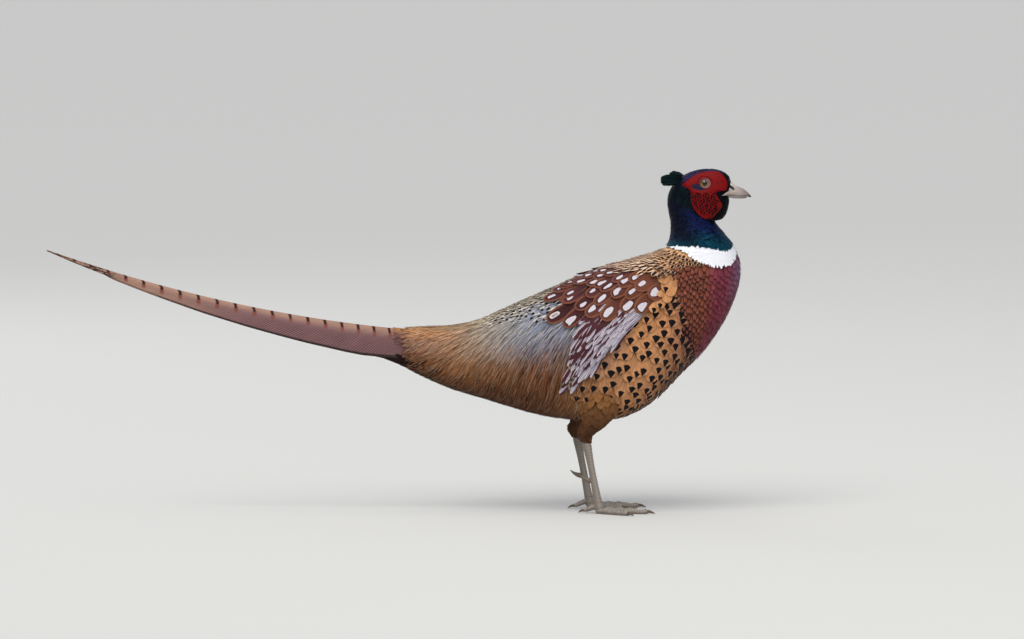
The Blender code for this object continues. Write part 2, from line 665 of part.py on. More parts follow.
def make_wattle(name, side):
    """Bare skin on the face, thickest in the lobe, with a lid round the eye."""
    share = np.array((0.0, 0.3, 0.55, 0.8, 1.0))
    start = unit(WATTLE) * (EYE_SHOWN_RADIUS - 0.6 * MM)
    flat = start[None] + (WATTLE - start)[None] * share[:, None, None]
    place, turn = side_place(EYE_X + flat[..., 0], np.minimum(EYE_Z + flat[..., 1], 373.4 * MM))
    lift = MM * np.array((0.9, 1.3, 1.6, 1.5, 0.7))[:, None] * np.ones(len(WATTLE))
    lobe = np.clip(-flat[..., 1] / (30 * MM), 0, 1)
    bulbs = np.where(np.add.outer(np.arange(5), np.arange(len(WATTLE))) % 2 == 0, 0.75, -0.45)
    lift = lift + MM * (0.9 * lobe + bulbs) * np.array((0.0, 0.8, 1.0, 1.0, 0.3))[:, None]
    top = body_point(place, turn, lift)
    bottom = body_point(place, turn, np.full_like(lift, -1.0 * MM))
    rings, around = share.size, len(WATTLE)
    points = mirrored(np.vstack([top.reshape(-1, 3), bottom.reshape(-1, 3)]), side * -1)
    faces, under = [], rings * around
    for i in range(rings - 1):
        for j in range(around):
            k = (j + 1) % around
            a, b, c, d = i * around + j, i * around + k, (i + 1) * around + k, (i + 1) * around + j
            faces += [(a, b, c), (a, c, d)]
            faces += [(under + a, under + c, under + b), (under + a, under + d, under + c)]
    for row in (0, rings - 1):
        for j in range(around):
            a, b = row * around + j, row * around + (j + 1) % around
            faces += [(a, under + a, under + b), (a, under + b, b)]
    patch = make_object("patch", points, faces)
    out = -float(body_point(EYE_PLACE, EYE_TURN)[1]) + 0.7 * MM
    turn = np.linspace(0, 2 * math.pi, 16, endpoint=False)
    small = np.linspace(0, 2 * math.pi, 5, endpoint=False)
    reach = (EYE_SHOWN_RADIUS + 0.45 * MM) + 0.95 * MM * np.cos(small)[None, :]
    ring = np.stack(
        [
            EYE_X + reach * np.cos(turn)[:, None] * 1.06,
            np.broadcast_to(side * (out + 0.8 * MM * np.sin(small)[None, :]), (16, 5)),
            EYE_Z + reach * np.sin(turn)[:, None] * 0.94,
        ],
        -1,
    )
    points, faces = ring.reshape(-1, 3), []
    for i in range(16):
        for j in range(5):
            k, m = (i + 1) % 16, (j + 1) % 5
            faces.append((i * 5 + j, i * 5 + m, k * 5 + m, k * 5 + j))
    lid = make_object("lid", points, faces)
    body = fuse(name, [patch, lid], "EXACT")
    clear = sphere("clear", (EYE_X, side * EYE_Y, EYE_Z), EYE_RADIUS + GAP)
    clear_of_flesh(body, 17.0, 26.0, HEAD_AROUND, [clear])
    finish(body, "wattle")


def make_tuft(name, side):
    rise = 0.0 if side < 0 else 5.0
    x = (311.0, 304.0, 298.0, 293.5, 290.5)
    z = (360.5, 361.2 + 0.2 * rise, 362.2 + 0.6 * rise, 362.9 + 0.9 * rise, 363.2 + rise)
    y = (8.0, 9.5, 10.5, 11.5, 12.0)
    tall = (2.0, 3.2, 4.2, 5.0, 3.2)
    wide = (1.5, 2.2, 2.6, 2.4, 1.2)
    turn = np.linspace(0, 2 * math.pi, 10, endpoint=False)
    rings = np.zeros((5, 10, 3))
    for i in range(5):
        rings[i, :, 0] = x[i]
        rings[i, :, 1] = side * y[i] + wide[i] * np.sin(turn)
        rings[i, :, 2] = z[i] + tall[i] * np.cos(turn)
    pieces = [loft(name, rings * MM)]
    for off in (-3.9, -1.3, 1.3, 3.9):
        middle = np.array((297.0, side * 10.6, z[2] + 0.55 * off))
        end = np.array((288.6 + 0.25 * abs(off), side * (12.0 + 0.4 * (off > 0)), z[4] + 1.25 * off))
        path = MM * np.array((middle, 0.45 * middle + 0.55 * end, end))
        pieces.append(tube("barb", path, MM * np.array((1.8, 1.6, 0.4)), 4))
    body = fuse(name, pieces)
    clear_of_flesh(body, 17.0, 26.0, HEAD_AROUND)
    finish(body, "tuft")


# Legs

def make_leg(name, side):
    foot_x = STANCE_X + (STANCE_STAGGER if side < 0 else -STANCE_STAGGER)
    y = side * STANCE_HALF_WIDTH
    heel = np.array((foot_x - 13 * MM, y, HEEL_HEIGHT))
    ankle = np.array((foot_x - 1 * MM, y, ANKLE_HEIGHT))
    lean = unit(heel - ankle)
    # Thigh, feathered down to the heel
    path = np.array(
        (
            (foot_x + 6 * MM, y * 0.8, 150 * MM),
            (foot_x + 5 * MM, y * 0.9, 130 * MM),
            (foot_x + 1 * MM, y * 0.97, 112 * MM),
            (foot_x - 6 * MM, y, 97 * MM),
            heel + lean * 8 * MM,
            heel + lean * 2.5 * MM,
            heel,
        )
    )
    wide = MM * np.array((22.0, 23.0, 19.0, 12.5, 8.4, 6.6, 5.6))
    turn = np.linspace(0, 2 * math.pi, 14, endpoint=False)
    long = np.array((1.15, 1.15, 1.15, 1.15, 1.1, 1.0, 1.0))
    slope = np.array((-0.22, -0.22, -0.22, -0.22, 0.05, 0.19, 0.19))
    section = np.stack(
        [
            long[:, None] * np.cos(turn),
            np.broadcast_to(np.sin(turn), (7, 14)),
            slope[:, None] * np.cos(turn),
        ],
        -1,
    )
    rings = path[:, None] + wide[:, None, None] * section
    thigh = loft("thigh_" + name, rings)
    clear_of_flesh(thigh, 4.0, 12.0)
    finish(thigh, "thigh")
    # Shank: scutes down the front, and a spur
    top = heel - lean * GAP
    bottom = ankle + lean * GAP
    count = 11
    share = np.linspace(0, 1, count)
    path = top + (bottom - top) * share[:, None]
    radius = MM * (4.1 - 0.7 * np.sin(math.pi * share) + 0.22 * (np.arange(count) % 2))
    radius[0] = 4.9 * MM
    radius[1] = 4.9 * MM
    radius[-1] = 4.2 * MM
    shank = tube("shank", path, radius, 8)
    flatten_ends(shank, path, lean, count, 8)
    root = ankle + lean * 21 * MM
    bend = np.array(((0, 0, 0), (-6.0, 1.5, 0.8), (-11.0, 2.5, 3.0), (-15.5, 3.0, 6.5)))
    spur = tube("spur", root + mirrored(MM * bend, -side), MM * np.array((2.9, 2.6, 1.7, 0.35)), 6)
    finish(fuse("shank_" + name, [shank, spur], "EXACT"), "leg")
    make_foot(name, side, foot_x, y, ankle, lean)


def flatten_ends(obj, path, lean, count, around):
    """Turns the first and last rings of a tube square to its line."""
    for row, at in ((0, path[0]), (count - 1, path[-1])):
        for j in range(around):
            vertex = obj.data.vertices[row * around + j]
            off = np.array(vertex.co) - at
            vertex.co = at + off - lean * (off @ lean)


def make_foot(name, side, foot_x, y, ankle, lean):
    centre = np.array((foot_x, y, 0.0))
    sole = centre + MM * np.array((1.0, 0, 3.0))
    path = np.array((ankle, ankle - lean * 4 * MM, centre + MM * np.array((0.5, 0, 6.5)), sole))
    stub = tube("stub", path, MM * np.array((4.2, 4.6, 5.6, 4.2)), 10, floor=True)
    for j in range(10):
        vertex = stub.data.vertices[j]
        off = np.array(vertex.co) - ankle
        vertex.co = ankle + off - lean * (off @ lean)
    pieces = [stub]
    toes = ((0.0, 52.0, 4), (30.0, 38.0, 3), (-32.0, 41.0, 3))
    for angle, length, joints in toes:
        angle = math.radians(angle) + side * math.radians(5)
        ahead = np.array((math.cos(angle), math.sin(angle), 0.0))
        count = 2 * joints + 1
        share = np.linspace(0, 1, count)
        path = centre + ahead * (share * length * MM)[:, None]
        knuckle = np.where(np.arange(count) % 2 == 0, 0.35, -0.25)
        radius = MM * (3.9 - 1.3 * share + knuckle)
        path[:, 2] = 0.84 * radius
        pieces.append(tube("toe", path, radius, 6, floor=True))
        tip = path[-1]
        claw = tip + ahead * MM * np.array((-1.2, 3.5, 7.5, 10.5))[:, None]
        claw[:, 2] = MM * np.array((2.4, 2.9, 2.0, 0.9))
        pieces.append(tube("claw", claw, MM * np.array((1.9, 1.6, 1.0, 0.35)), 6, floor=True))
    back = np.array((-1.0, -side * 0.35, 0.0))
    back = back / np.linalg.norm(back)
    path = centre + back * MM * np.array((0.0, 7.0, 13.0, 17.0))[:, None]
    path[:, 2] = MM * np.array((8.0, 6.5, 4.2, 3.2))
    pieces.append(tube("hallux", path, MM * np.array((3.0, 2.7, 2.3, 2.0)), 6, floor=True))
    claw = path[-1] + back * MM * np.array((-1.0, 2.5, 5.0, 7.0))[:, None]
    claw[:, 2] = MM * np.array((3.2, 3.0, 2.0, 0.9))
    pieces.append(tube("claw", claw, MM * np.array((1.5, 1.3, 0.9, 0.35)), 6, floor=True))
    finish(fuse("foot_" + name, pieces, "EXACT"), "leg")


# The bird

for leftover in list(bpy.data.objects):
    bpy.data.objects.remove(leftover)
BIRD = make_collection("pheasant")
PIECES = make_collection("pieces")
RUMP_FACE_X = float(body_point(RUMP_START, 0.0)[0])

finish(flesh("torso", RUMP_END, TORSO_END), "breast")
finish(flesh("neck", TORSO_END, NECK_END, HEAD_AROUND), "neck")
make_rump()
make_head()
make_bill()
make_tail()
for NAME, SIDE in (("right", -1), ("left", 1)):
    make_wing("wing_" + NAME, SIDE)
    make_leg(NAME, SIDE)
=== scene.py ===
"""A male ring-necked pheasant, standing, at life size: the skin, every tract of feathers, bill, eyes and legs.

The bird looks along +X with its left side towards +Y, and stands on z = 0. Feathers are thin closed vanes laid on
a chart of the body, row upon row like shingles, from the tail forwards.
"""

import math

import bpy
import numpy as np
from mathutils import Matrix, Vector


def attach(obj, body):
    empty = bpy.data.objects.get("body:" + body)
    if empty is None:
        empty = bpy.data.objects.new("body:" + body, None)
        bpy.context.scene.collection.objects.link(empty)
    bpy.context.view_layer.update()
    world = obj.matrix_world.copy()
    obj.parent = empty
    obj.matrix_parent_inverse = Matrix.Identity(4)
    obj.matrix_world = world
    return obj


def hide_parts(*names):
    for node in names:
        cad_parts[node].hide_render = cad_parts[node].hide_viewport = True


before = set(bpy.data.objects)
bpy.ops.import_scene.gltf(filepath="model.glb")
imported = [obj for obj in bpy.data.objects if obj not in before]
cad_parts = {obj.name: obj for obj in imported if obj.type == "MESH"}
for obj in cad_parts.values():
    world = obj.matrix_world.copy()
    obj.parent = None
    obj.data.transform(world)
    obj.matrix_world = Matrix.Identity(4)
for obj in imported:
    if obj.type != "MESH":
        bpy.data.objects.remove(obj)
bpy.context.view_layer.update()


# The viewing place. A long lens far off at the bird's right side, a little over its back, with plain pale
# ground all round and soft light from above, in front and behind.

CAMERA_TURN = math.radians(5.5)
CAMERA_RISE = math.radians(4.0)
CAMERA_ROLL = math.radians(0.38)
CAMERA_AIM = Vector((0.1254, 0.0, 0.2101))
CAMERA_DISTANCE = 8.9
SEEN_WIDTH = 1.1213

back = Vector(
    (
        math.sin(CAMERA_TURN) * math.cos(CAMERA_RISE),
        -math.cos(CAMERA_TURN) * math.cos(CAMERA_RISE),
        math.sin(CAMERA_RISE),
    )
)
camera_data = bpy.data.cameras.new("camera")
camera_data.sensor_width = 36.0
camera_data.lens = 36.0 * CAMERA_DISTANCE / SEEN_WIDTH
camera_data.clip_start, camera_data.clip_end = 0.1, 500.0
camera = bpy.data.objects.new("camera", camera_data)
bpy.context.scene.collection.objects.link(camera)
turned = (-back).to_track_quat("-Z", "Y").to_matrix().to_4x4() @ Matrix.Rotation(-CAMERA_ROLL, 4, "Z")
camera.matrix_world = Matrix.Translation(CAMERA_AIM + back * CAMERA_DISTANCE) @ turned
bpy.context.scene.camera = camera
bpy.context.scene.view_settings.view_transform = "Standard"


def soft_light(name, place, aim, width, watts, colour):
    """A square soft box that faces a point."""
    data = bpy.data.lights.new(name, "AREA")
    data.shape, data.size, data.energy, data.color = "SQUARE", width, watts, colour
    lamp = bpy.data.objects.new(name, data)
    lamp.location = place
    lamp.rotation_euler = (Vector(aim) - Vector(place)).to_track_quat("-Z", "Y").to_euler()
    bpy.context.scene.collection.objects.link(lamp)


soft_light("overhead", (0.2, -0.4, 3.2), (0.1, 0.0, 0.2), 3.0, 26.0, (1.0, 0.985, 0.96))
soft_light("front", (1.6, -3.0, 1.8), (0.1, 0.0, 0.2), 2.0, 16.0, (1.0, 0.98, 0.95))
soft_light("rear", (-1.8, 2.6, 2.0), (0.1, 0.0, 0.2), 2.0, 14.0, (0.95, 0.97, 1.0))
sun_data = bpy.data.lights.new("haze", "SUN")
sun_data.energy, sun_data.angle, sun_data.color = 2.0, math.radians(50.0), (1.0, 0.985, 0.96)
sun = bpy.data.objects.new("haze", sun_data)
sun.rotation_euler = Vector((0.15, 0.75, -1.0)).to_track_quat("-Z", "Y").to_euler()
bpy.context.scene.collection.objects.link(sun)

world = bpy.data.worlds.new("sky")
world.use_nodes = True
world.node_tree.nodes["Background"].inputs["Color"].default_value = (0.86, 0.91, 1.0, 1.0)
world.node_tree.nodes["Background"].inputs["Strength"].default_value = 0.5
bpy.context.scene.world = world

ground_mesh = bpy.data.meshes.new("ground")
ground_mesh.from_pydata([(-60, -60, 0), (60, -60, 0), (60, 200, 0), (-60, 200, 0)], [], [(0, 1, 2, 3)])
ground = bpy.data.objects.new("ground", ground_mesh)
bpy.context.scene.collection.objects.link(ground)
ground_finish = bpy.data.materials.new("pale ground")
ground_finish.use_nodes = True
ground_shader = ground_finish.node_tree.nodes["Principled BSDF"]
ground_shader.inputs["Base Color"].default_value = (0.62, 0.61, 0.58, 1.0)
ground_shader.inputs["Roughness"].default_value = 0.9
ground_mesh.materials.append(ground_finish)


# The body under the feathers. Its form is carried on ribs from the tail coverts to the bill, each with a back
# and a front point and a half width; a place counts ribs and a turn runs from the back, 0, to the belly, 1.

MM = 0.001
RIBS = MM * np.array(
    (
        (8.0, 201.3, 8.0, 157.0, 16.5),
        (35.2, 202.6, 35.2, 144.0, 24.0),
        (62.7, 204.0, 62.7, 133.0, 31.5),
        (90.2, 211.5, 92.4, 124.3, 39.0),
        (117.7, 223.5, 121.0, 115.5, 46.0),
        (147.4, 236.5, 150.7, 106.7, 52.0),
        (180.4, 250.8, 183.7, 100.7, 57.0),
        (213.4, 264.0, 216.7, 99.0, 61.0),
        (244.2, 274.0, 249.7, 103.0, 63.0),
        (268.4, 281.0, 282.7, 121.0, 62.0),
        (282.7, 285.5, 310.2, 149.0, 58.0),
        (290.4, 288.6, 337.7, 177.5, 53.0),
        (295.2, 291.8, 360.5, 212.0, 47.0),
        (298.0, 296.8, 373.5, 244.0, 40.5),
        (299.6, 303.6, 376.6, 267.5, 34.5),
        (300.1, 311.5, 371.0, 287.5, 29.0),
        (299.4, 320.7, 360.2, 303.0, 25.0),
        (297.4, 331.0, 351.5, 313.0, 22.3),
        (296.9, 341.6, 348.4, 317.6, 20.3),
        (299.8, 352.4, 350.6, 318.6, 18.7),
        (307.0, 362.2, 354.0, 319.2, 17.4),
        (318.0, 369.8, 357.2, 320.8, 16.6),
        (331.0, 374.0, 360.2, 324.4, 15.8),
        (344.3, 374.9, 362.2, 329.2, 14.4),
        (355.0, 373.0, 363.4, 334.4, 12.4),
        (362.6, 368.4, 364.0, 339.0, 10.0),
        (367.0, 361.6, 363.4, 343.0, 7.4),
    )
)
FULLNESS = 0.05


def unit(v):
    return v / np.maximum(np.linalg.norm(v, axis=-1, keepdims=True), 1e-12)


def dot(a, b):
    return (a * b).sum(-1, keepdims=True)


def curve_through(rows, place):
    """Catmull-Rom curve: each span is a cubic that leaves its row along the line between that row's neighbours."""
    i = np.clip(np.floor(place).astype(int), 0, len(rows) - 2)
    t = (place - i)[..., None]
    padded = np.vstack([2 * rows[0] - rows[1], rows, 2 * rows[-1] - rows[-2]])
    a, b, c, d = (padded[i + k] for k in range(4))
    return b + 0.5 * t * (c - a + t * (2 * a - 5 * b + 4 * c - d + t * (3 * (b - c) + d - a)))


def body_surface(place, turn):
    """Rib section: the cosine of the turn runs down from back to front, its sine out to the half width."""
    rib = curve_through(RIBS, place)
    angle = math.pi * turn
    swell = 1 + FULLNESS * np.sin(2 * angle) ** 2
    along = 0.5 - 0.5 * np.cos(angle) * swell
    x = rib[..., 0] + (rib[..., 2] - rib[..., 0]) * along
    z = rib[..., 1] + (rib[..., 3] - rib[..., 1]) * along
    return np.stack([x, -rib[..., 4] * np.sin(angle) * swell, z], -1)


def make_chart(surface, places, turns, density):
    """A table of a surface's points and of its two tangents, by central differences, on a fine grid."""
    a = np.linspace(places[0], places[1], int((places[1] - places[0]) * density[0]) + 1)
    b = np.linspace(turns[0], turns[1], int((turns[1] - turns[0]) * density[1]) + 1)
    place, turn = np.meshgrid(a, b, indexing="ij")
    h = 1e-3
    along = (surface(place + h, turn) - surface(place - h, turn)) / (2 * h)
    around = (surface(place, turn + h) - surface(place, turn - h)) / (2 * h)
    table = np.concatenate([surface(place, turn), along, around], -1)
    return {"table": table, "first": (a[0], b[0]), "step": (a[1] - a[0], b[1] - b[0])}


def on_chart(chart, place, turn):
    """Point, tangents and outward normal at a place and turn, blended from the table's four nearest knots."""
    table = chart["table"]
    a = np.clip((place - chart["first"][0]) / chart["step"][0], 0, table.shape[0] - 1.001)
    b = np.clip((turn - chart["first"][1]) / chart["step"][1], 0, table.shape[1] - 1.001)
    i, j = a.astype(int), b.astype(int)
    f, g = (a - i)[..., None], (b - j)[..., None]
    low = table[i, j] * (1 - g) + table[i, j + 1] * g
    high = table[i + 1, j] * (1 - g) + table[i + 1, j + 1] * g
    found = low * (1 - f) + high * f
    along, around = found[..., 3:6], found[..., 6:]
    return found[..., :3], along, around, unit(np.cross(around, along))


BODY = make_chart(body_surface, (-1.5, 26.0), (-0.4, 1.4), (16, 140))


def set_mesh(name, points, faces, sharp=None):
    """A mesh object at the origin from an array of points and one of quads, smooth but for folds over an angle."""
    mesh = bpy.data.meshes.new(name)
    mesh.vertices.add(len(points))
    mesh.vertices.foreach_set("co", np.ascontiguousarray(points, np.float32).ravel())
    mesh.loops.add(faces.size)
    mesh.loops.foreach_set("vertex_index", np.ascontiguousarray(faces, np.int32).ravel())
    mesh.polygons.add(len(faces))
    mesh.polygons.foreach_set("loop_start", np.arange(0, faces.size, faces.shape[1], dtype=np.int32))
    mesh.update(calc_edges=True)
    mesh.shade_smooth()
    if sharp is not None:
        mesh.set_sharp_from_angle(angle=math.radians(sharp))
    piece = bpy.data.objects.new(name, mesh)
    bpy.context.scene.collection.objects.link(piece)
    return piece


def set_values(piece, name, kind, values):
    """A value for each point of a mesh: a colour or a vector."""
    layer = piece.data.attributes.new(name, kind, "POINT")
    if kind == "FLOAT_COLOR":
        values = np.concatenate([values, np.ones((len(values), 1))], -1)
        layer.data.foreach_set("color", np.ascontiguousarray(values, np.float32).ravel())
    else:
        layer.data.foreach_set("vector", np.ascontiguousarray(values, np.float32).ravel())


def set_bake_map(piece, uv):
    """The map named OFBake, from a pair of values for each point."""
    order = np.empty(len(piece.data.loops), np.int32)
    piece.data.loops.foreach_get("vertex_index", order)
    layer = piece.data.uv_layers.new(name="OFBake")
    layer.data.foreach_set("uv", np.ascontiguousarray(uv[order], np.float32).ravel())


def near(place, turn, anchors, reach=(1.3, 0.13)):
    """Values spread from anchors: rows of place, turn and values, each weighted by a bell of its distance."""
    anchors = np.asarray(anchors, float)
    place, turn = np.asarray(place)[..., None], np.asarray(turn)[..., None]
    far = ((place - anchors[:, 0]) / reach[0]) ** 2 + ((turn - anchors[:, 1]) / reach[1]) ** 2
    weight = np.exp(-0.5 * (far - far.min(-1, keepdims=True)))
    weight /= weight.sum(-1, keepdims=True)
    return weight @ anchors[:, 2:]


def ease(x, low, high):
    """0 below low, 1 above high, and a smooth step between."""
    t = np.clip((x - low) / (high - low), 0, 1)
    return t * t * (3 - 2 * t)


# The white collar's lower and upper edge, as places by turn
COLLAR_TURN = (0.0, 0.1, 0.2, 0.255, 0.355, 0.455, 0.56, 0.66, 0.745, 0.81, 0.935, 1.0)
COLLAR_LOW = (12.0, 12.05, 12.54, 12.84, 13.04, 13.09, 13.24, 13.49, 13.84, 14.2, 14.7, 14.85)
COLLAR_HIGH = (11.9, 12.0, 12.84, 13.22, 13.80, 14.20, 14.46, 14.58, 14.72, 14.9, 15.3, 15.25)

# Colours of the plumage by place and turn: place, turn, red, green, blue
PLUMAGE = (
    (0.5, 0.05, 0.52, 0.29, 0.14), (0.5, 0.25, 0.52, 0.24, 0.10), (0.6, 0.42, 0.24, 0.115, 0.10), (0.5, 0.6, 0.17, 0.065, 0.03), (1.2, 0.42, 0.46, 0.22, 0.11), (0.5, 0.95, 0.05, 0.025, 0.015),
    (2.0, 0.05, 0.47, 0.33, 0.20), (2.0, 0.4, 0.47, 0.25, 0.12), (2.0, 0.6, 0.30, 0.12, 0.04), (2.0, 0.78, 0.14, 0.055, 0.02),
    (3.5, 0.05, 0.38, 0.31, 0.21), (3.5, 0.3, 0.38, 0.33, 0.26), (3.5, 0.43, 0.33, 0.28, 0.22), (3.5, 0.57, 0.25, 0.10, 0.035),
    (3.5, 0.78, 0.12, 0.04, 0.015), (5.0, 0.05, 0.34, 0.28, 0.19), (4.8, 0.32, 0.30, 0.34, 0.43), (5.0, 0.43, 0.28, 0.32, 0.43),
    (5.0, 0.56, 0.20, 0.068, 0.018), (5.0, 0.78, 0.10, 0.033, 0.012), (6.5, 0.05, 0.30, 0.17, 0.10),
    (6.2, 0.40, 0.30, 0.33, 0.39), (6.2, 0.56, 0.14, 0.048, 0.02), (8.0, 0.05, 0.50, 0.21, 0.115), (9.5, 0.05, 0.78, 0.41, 0.19),
    (12.0, 0.05, 0.72, 0.37, 0.15), (12.2, 0.3, 0.62, 0.29, 0.10), (9.5, 0.5, 0.58, 0.25, 0.10), (8.5, 0.7, 0.56, 0.25, 0.11),
    (7.0, 0.8, 0.32, 0.14, 0.05), (11.2, 0.45, 0.22, 0.075, 0.036), (11.5, 0.75, 0.115, 0.024, 0.032),
    (12.7, 0.8, 0.125, 0.022, 0.032), (12.5, 0.99, 0.14, 0.022, 0.022), (9.5, 0.97, 0.05, 0.022, 0.016),
    (6.5, 0.97, 0.03, 0.016, 0.012), (3.0, 0.98, 0.035, 0.02, 0.014),
)

# The lie of the feathers by place and turn: place, turn, and the forward and upward share of their direction
LIE = (
    (13.5, 0.05, -1, -0.25), (10, 0.05, -1, -0.35), (7, 0.05, -1, -0.42), (4, 0.05, -1, -0.45),
    (1, 0.05, -1, -0.05), (13, 0.45, -0.4, -1), (12, 0.5, -0.12, -1), (12, 0.8, -0.05, -1),
    (12, 1, -0.35, -1), (9.5, 0.5, -0.05, -1), (9.5, 0.75, -0.1, -1), (8, 0.7, -0.2, -1), (8.6, 0.5, -0.2, -1),
    (9, 1, -1, -0.3), (6.5, 0.8, -0.4, -1), (5.5, 0.3, -0.7, -0.7), (4.4, 0.39, -0.45, -0.9), (3.6, 0.29, -0.71, -0.71),
    (2.35, 0.33, -0.8, -0.6), (1.5, 0.35, -0.87, -0.5), (0.9, 0.32, -0.97, -0.2), (1.1, 0.52, -0.8, -0.6),
    (3.0, 0.43, -0.62, -0.78), (1.95, 0.62, -0.5, -0.87), (4.15, 0.61, -0.22, -0.97), (2.6, 0.75, -0.5, -0.87),
    (4.5, 0.75, -0.25, -1), (5, 1, -1, -0.1), (1, 0.8, -1, -0.3), (0, 0.5, -1, 0), (15, 0.05, -0.2, -1),
    (15.5, 0.5, -0.1, -1), (15.5, 0.95, 0.3, -1), (18, 0.5, -0.15, -1), (18, 0.05, 0.05, -1), (18, 0.95, 0, -1),
    (20, 0.05, -0.7, -1), (22, 0.5, -0.7, -0.7), (22, 0.95, -0.5, -1), (23, 0.05, -1, -0.05), (25, 0.5, -1, -0.1),
    (25.7, 0.1, -0.9, 0.5), (25.5, 0.9, -1, -0.3),
)


def plumage_colour(place, turn):
    """The colour of the coat: markings by place, the collar white, and the neck and head dark and glossy."""
    colour = near(place, turn, PLUMAGE, (0.9, 0.1))
    teal, blue = np.array((0.002, 0.036, 0.060)), np.array((0.0045, 0.009, 0.050))
    black = np.array((0.003, 0.004, 0.009))
    high = np.interp(turn, COLLAR_TURN, COLLAR_HIGH)
    low = np.interp(turn, COLLAR_TURN, COLLAR_LOW)
    neck = teal + (blue - teal) * ease(place, high + 0.2, high + 1.7)[..., None]
    neck = neck + (black - neck) * (0.92 * ease(0.50 - turn, -0.08, 0.22) * ease(place, 12.6, 14.6))[..., None]
    neck = neck + (black - neck) * (0.75 * ease(place, 18.3, 20.5))[..., None]
    colour = np.where((place > high)[..., None], neck, colour)
    return np.where(((place > low) & (place < high))[..., None], np.array((0.72, 0.72, 0.80)), colour)


# The skin. One closed hide over rump, body, neck, head and thighs, inside the plumage by the coat's depth, in
# the plumage's own colours darkened to under half, and dark brown on the thighs, so that nothing else shows
# between two feathers: painted shade in the gaps.

STANCE_X = 214.0 * MM
STANCE_HALF_WIDTH = 33.0 * MM
STANCE_STAGGER = 8.0 * MM
HEEL_HEIGHT = 79.0 * MM
ANKLE_HEIGHT = 15.0 * MM


def foot_place(side):
    """Where a foot's middle stands: the right one a little ahead of the left."""
    return STANCE_X - side * STANCE_STAGGER, side * STANCE_HALF_WIDTH


def heel_and_ankle(side):
    x, y = foot_place(side)
    return np.array((x - 13 * MM, y, HEEL_HEIGHT)), np.array((x - 1 * MM, y, ANKLE_HEIGHT))


def thigh_surface(side):
    """Oval sections down a bent line from the flank to the heel, narrowing like a cone."""
    x, y = foot_place(side)
    heel, ankle = heel_and_ankle(side)
    lean = unit(heel - ankle)
    middle = np.array(
        (
            (x + 6 * MM, y * 0.8, 150 * MM), (x + 5 * MM, y * 0.9, 130 * MM), (x + 1 * MM, y * 0.97, 112 * MM),
            (x - 6 * MM, y, 97 * MM), tuple(heel + lean * 8 * MM), tuple(heel - lean * 1 * MM),
        )
    )
    wide = MM * np.array((22.0, 23.0, 19.0, 12.5, 8.4, 5.0))
    rows = np.concatenate([middle, wide[:, None]], -1)

    def surface(place, turn):
        row = curve_through(rows, place)
        angle = math.pi * turn
        out = np.stack([1.12 * np.cos(angle), -np.sin(angle), -0.1 * np.cos(angle)], -1)
        return row[..., :3] + row[..., 3:] * out

    return surface


def closed_grid(points):
    """Faces of rings that close round, with a fan-like cap of quads to a middle point at either end."""
    rows, around = points.shape[:2]
    i, j = np.meshgrid(np.arange(rows - 1), np.arange(around), indexing="ij")
    k = (j + 1) % around
    faces = np.stack([i * around + j, i * around + k, (i + 1) * around + k, (i + 1) * around + j], -1).reshape(-1, 4)
    ends = []
    for row, middle, turned in ((0, rows * around, 1), (rows - 1, rows * around + 1, -1)):
        j = np.arange(0, around, 2)
        cap = np.stack([np.full(len(j), middle), row * around + (j + 2) % around, row * around + j + 1, row * around + j], -1)
        ends.append(cap[:, ::turned])
    flat = np.concatenate([points.reshape(-1, 3), points[0].mean(0)[None], points[-1].mean(0)[None]])
    return flat, np.concatenate([faces, *ends])


def coat_depth(place):
    """How deep the skin lies: most on the body, less on the neck, least on the head."""
    return MM * np.interp(place, (-1, 0, 2, 13, 15, 18, 20, 26), (3.0, 3.0, 4.5, 4.5, 3.0, 2.2, 1.3, 1.0))


skin_place, skin_turn = np.meshgrid(np.linspace(0.0, 26.0, 157), np.linspace(0, 2, 64, endpoint=False), indexing="ij")
wrapped = np.where(skin_turn > 1.2, 2 - skin_turn, skin_turn)
skin_side = np.where(skin_turn > 1.2, -1.0, 1.0)
point, _, _, normal = on_chart(BODY, skin_place, wrapped)
point = point - normal * coat_depth(skin_place)[..., None]
point[..., 1] *= skin_side
skin_points, skin_faces = closed_grid(point)
skin = set_mesh("skin", skin_points, skin_faces)
# Painted shade: the plumage's colour at 0.45 of its brightness, dark like the shaded gaps between feathers
colour = plumage_colour(skin_place, wrapped).reshape(-1, 3) * 0.45
set_values(skin, "tone", "FLOAT_COLOR", np.concatenate([colour, colour[:1], colour[-1:]]))
uv = np.stack([0.02 + 0.46 * skin_turn, 0.02 + 0.9 * (skin_place + 1.5) / 28], -1).reshape(-1, 2)
set_bake_map(skin, np.concatenate([uv, uv[:1], uv[-1:]]))
thigh_chart = {}
for side in (-1, 1):
    thigh_chart[side] = make_chart(thigh_surface(side), (0.0, 5.0), (-1.2, 1.2), (12, 40))

hides = [skin]
for side in (-1, 1):
    place, turn = np.meshgrid(np.linspace(0, 5, 31), np.linspace(0, 2, 32, endpoint=False) - 1, indexing="ij")
    point, _, _, normal = on_chart(thigh_chart[side], place, turn)
    points, faces = closed_grid(point - normal * np.interp(place, (0, 3, 5), (3 * MM, 2 * MM, 0.6 * MM))[..., None])
    thigh = set_mesh("thigh", points, faces)
    # Painted shade: the thighs' skin dark brown, like the shaded gaps between their feathers
    set_values(thigh, "tone", "FLOAT_COLOR", np.tile((0.05, 0.02, 0.008), (len(points), 1)))
    set_bake_map(thigh, np.stack([points[:, 1] * 0.5 + 0.5 + 0.3 * side, points[:, 2] * 0.5], -1))
    join = skin.modifiers.new("thigh", "BOOLEAN")
    join.operation, join.solver, join.object = "UNION", "MANIFOLD", thigh
    hides.append(thigh)
graph = bpy.context.evaluated_depsgraph_get()
joined = bpy.data.meshes.new_from_object(skin.evaluated_get(graph), depsgraph=graph)
skin.modifiers.clear()
skin.data = joined
skin.data.materials.clear()
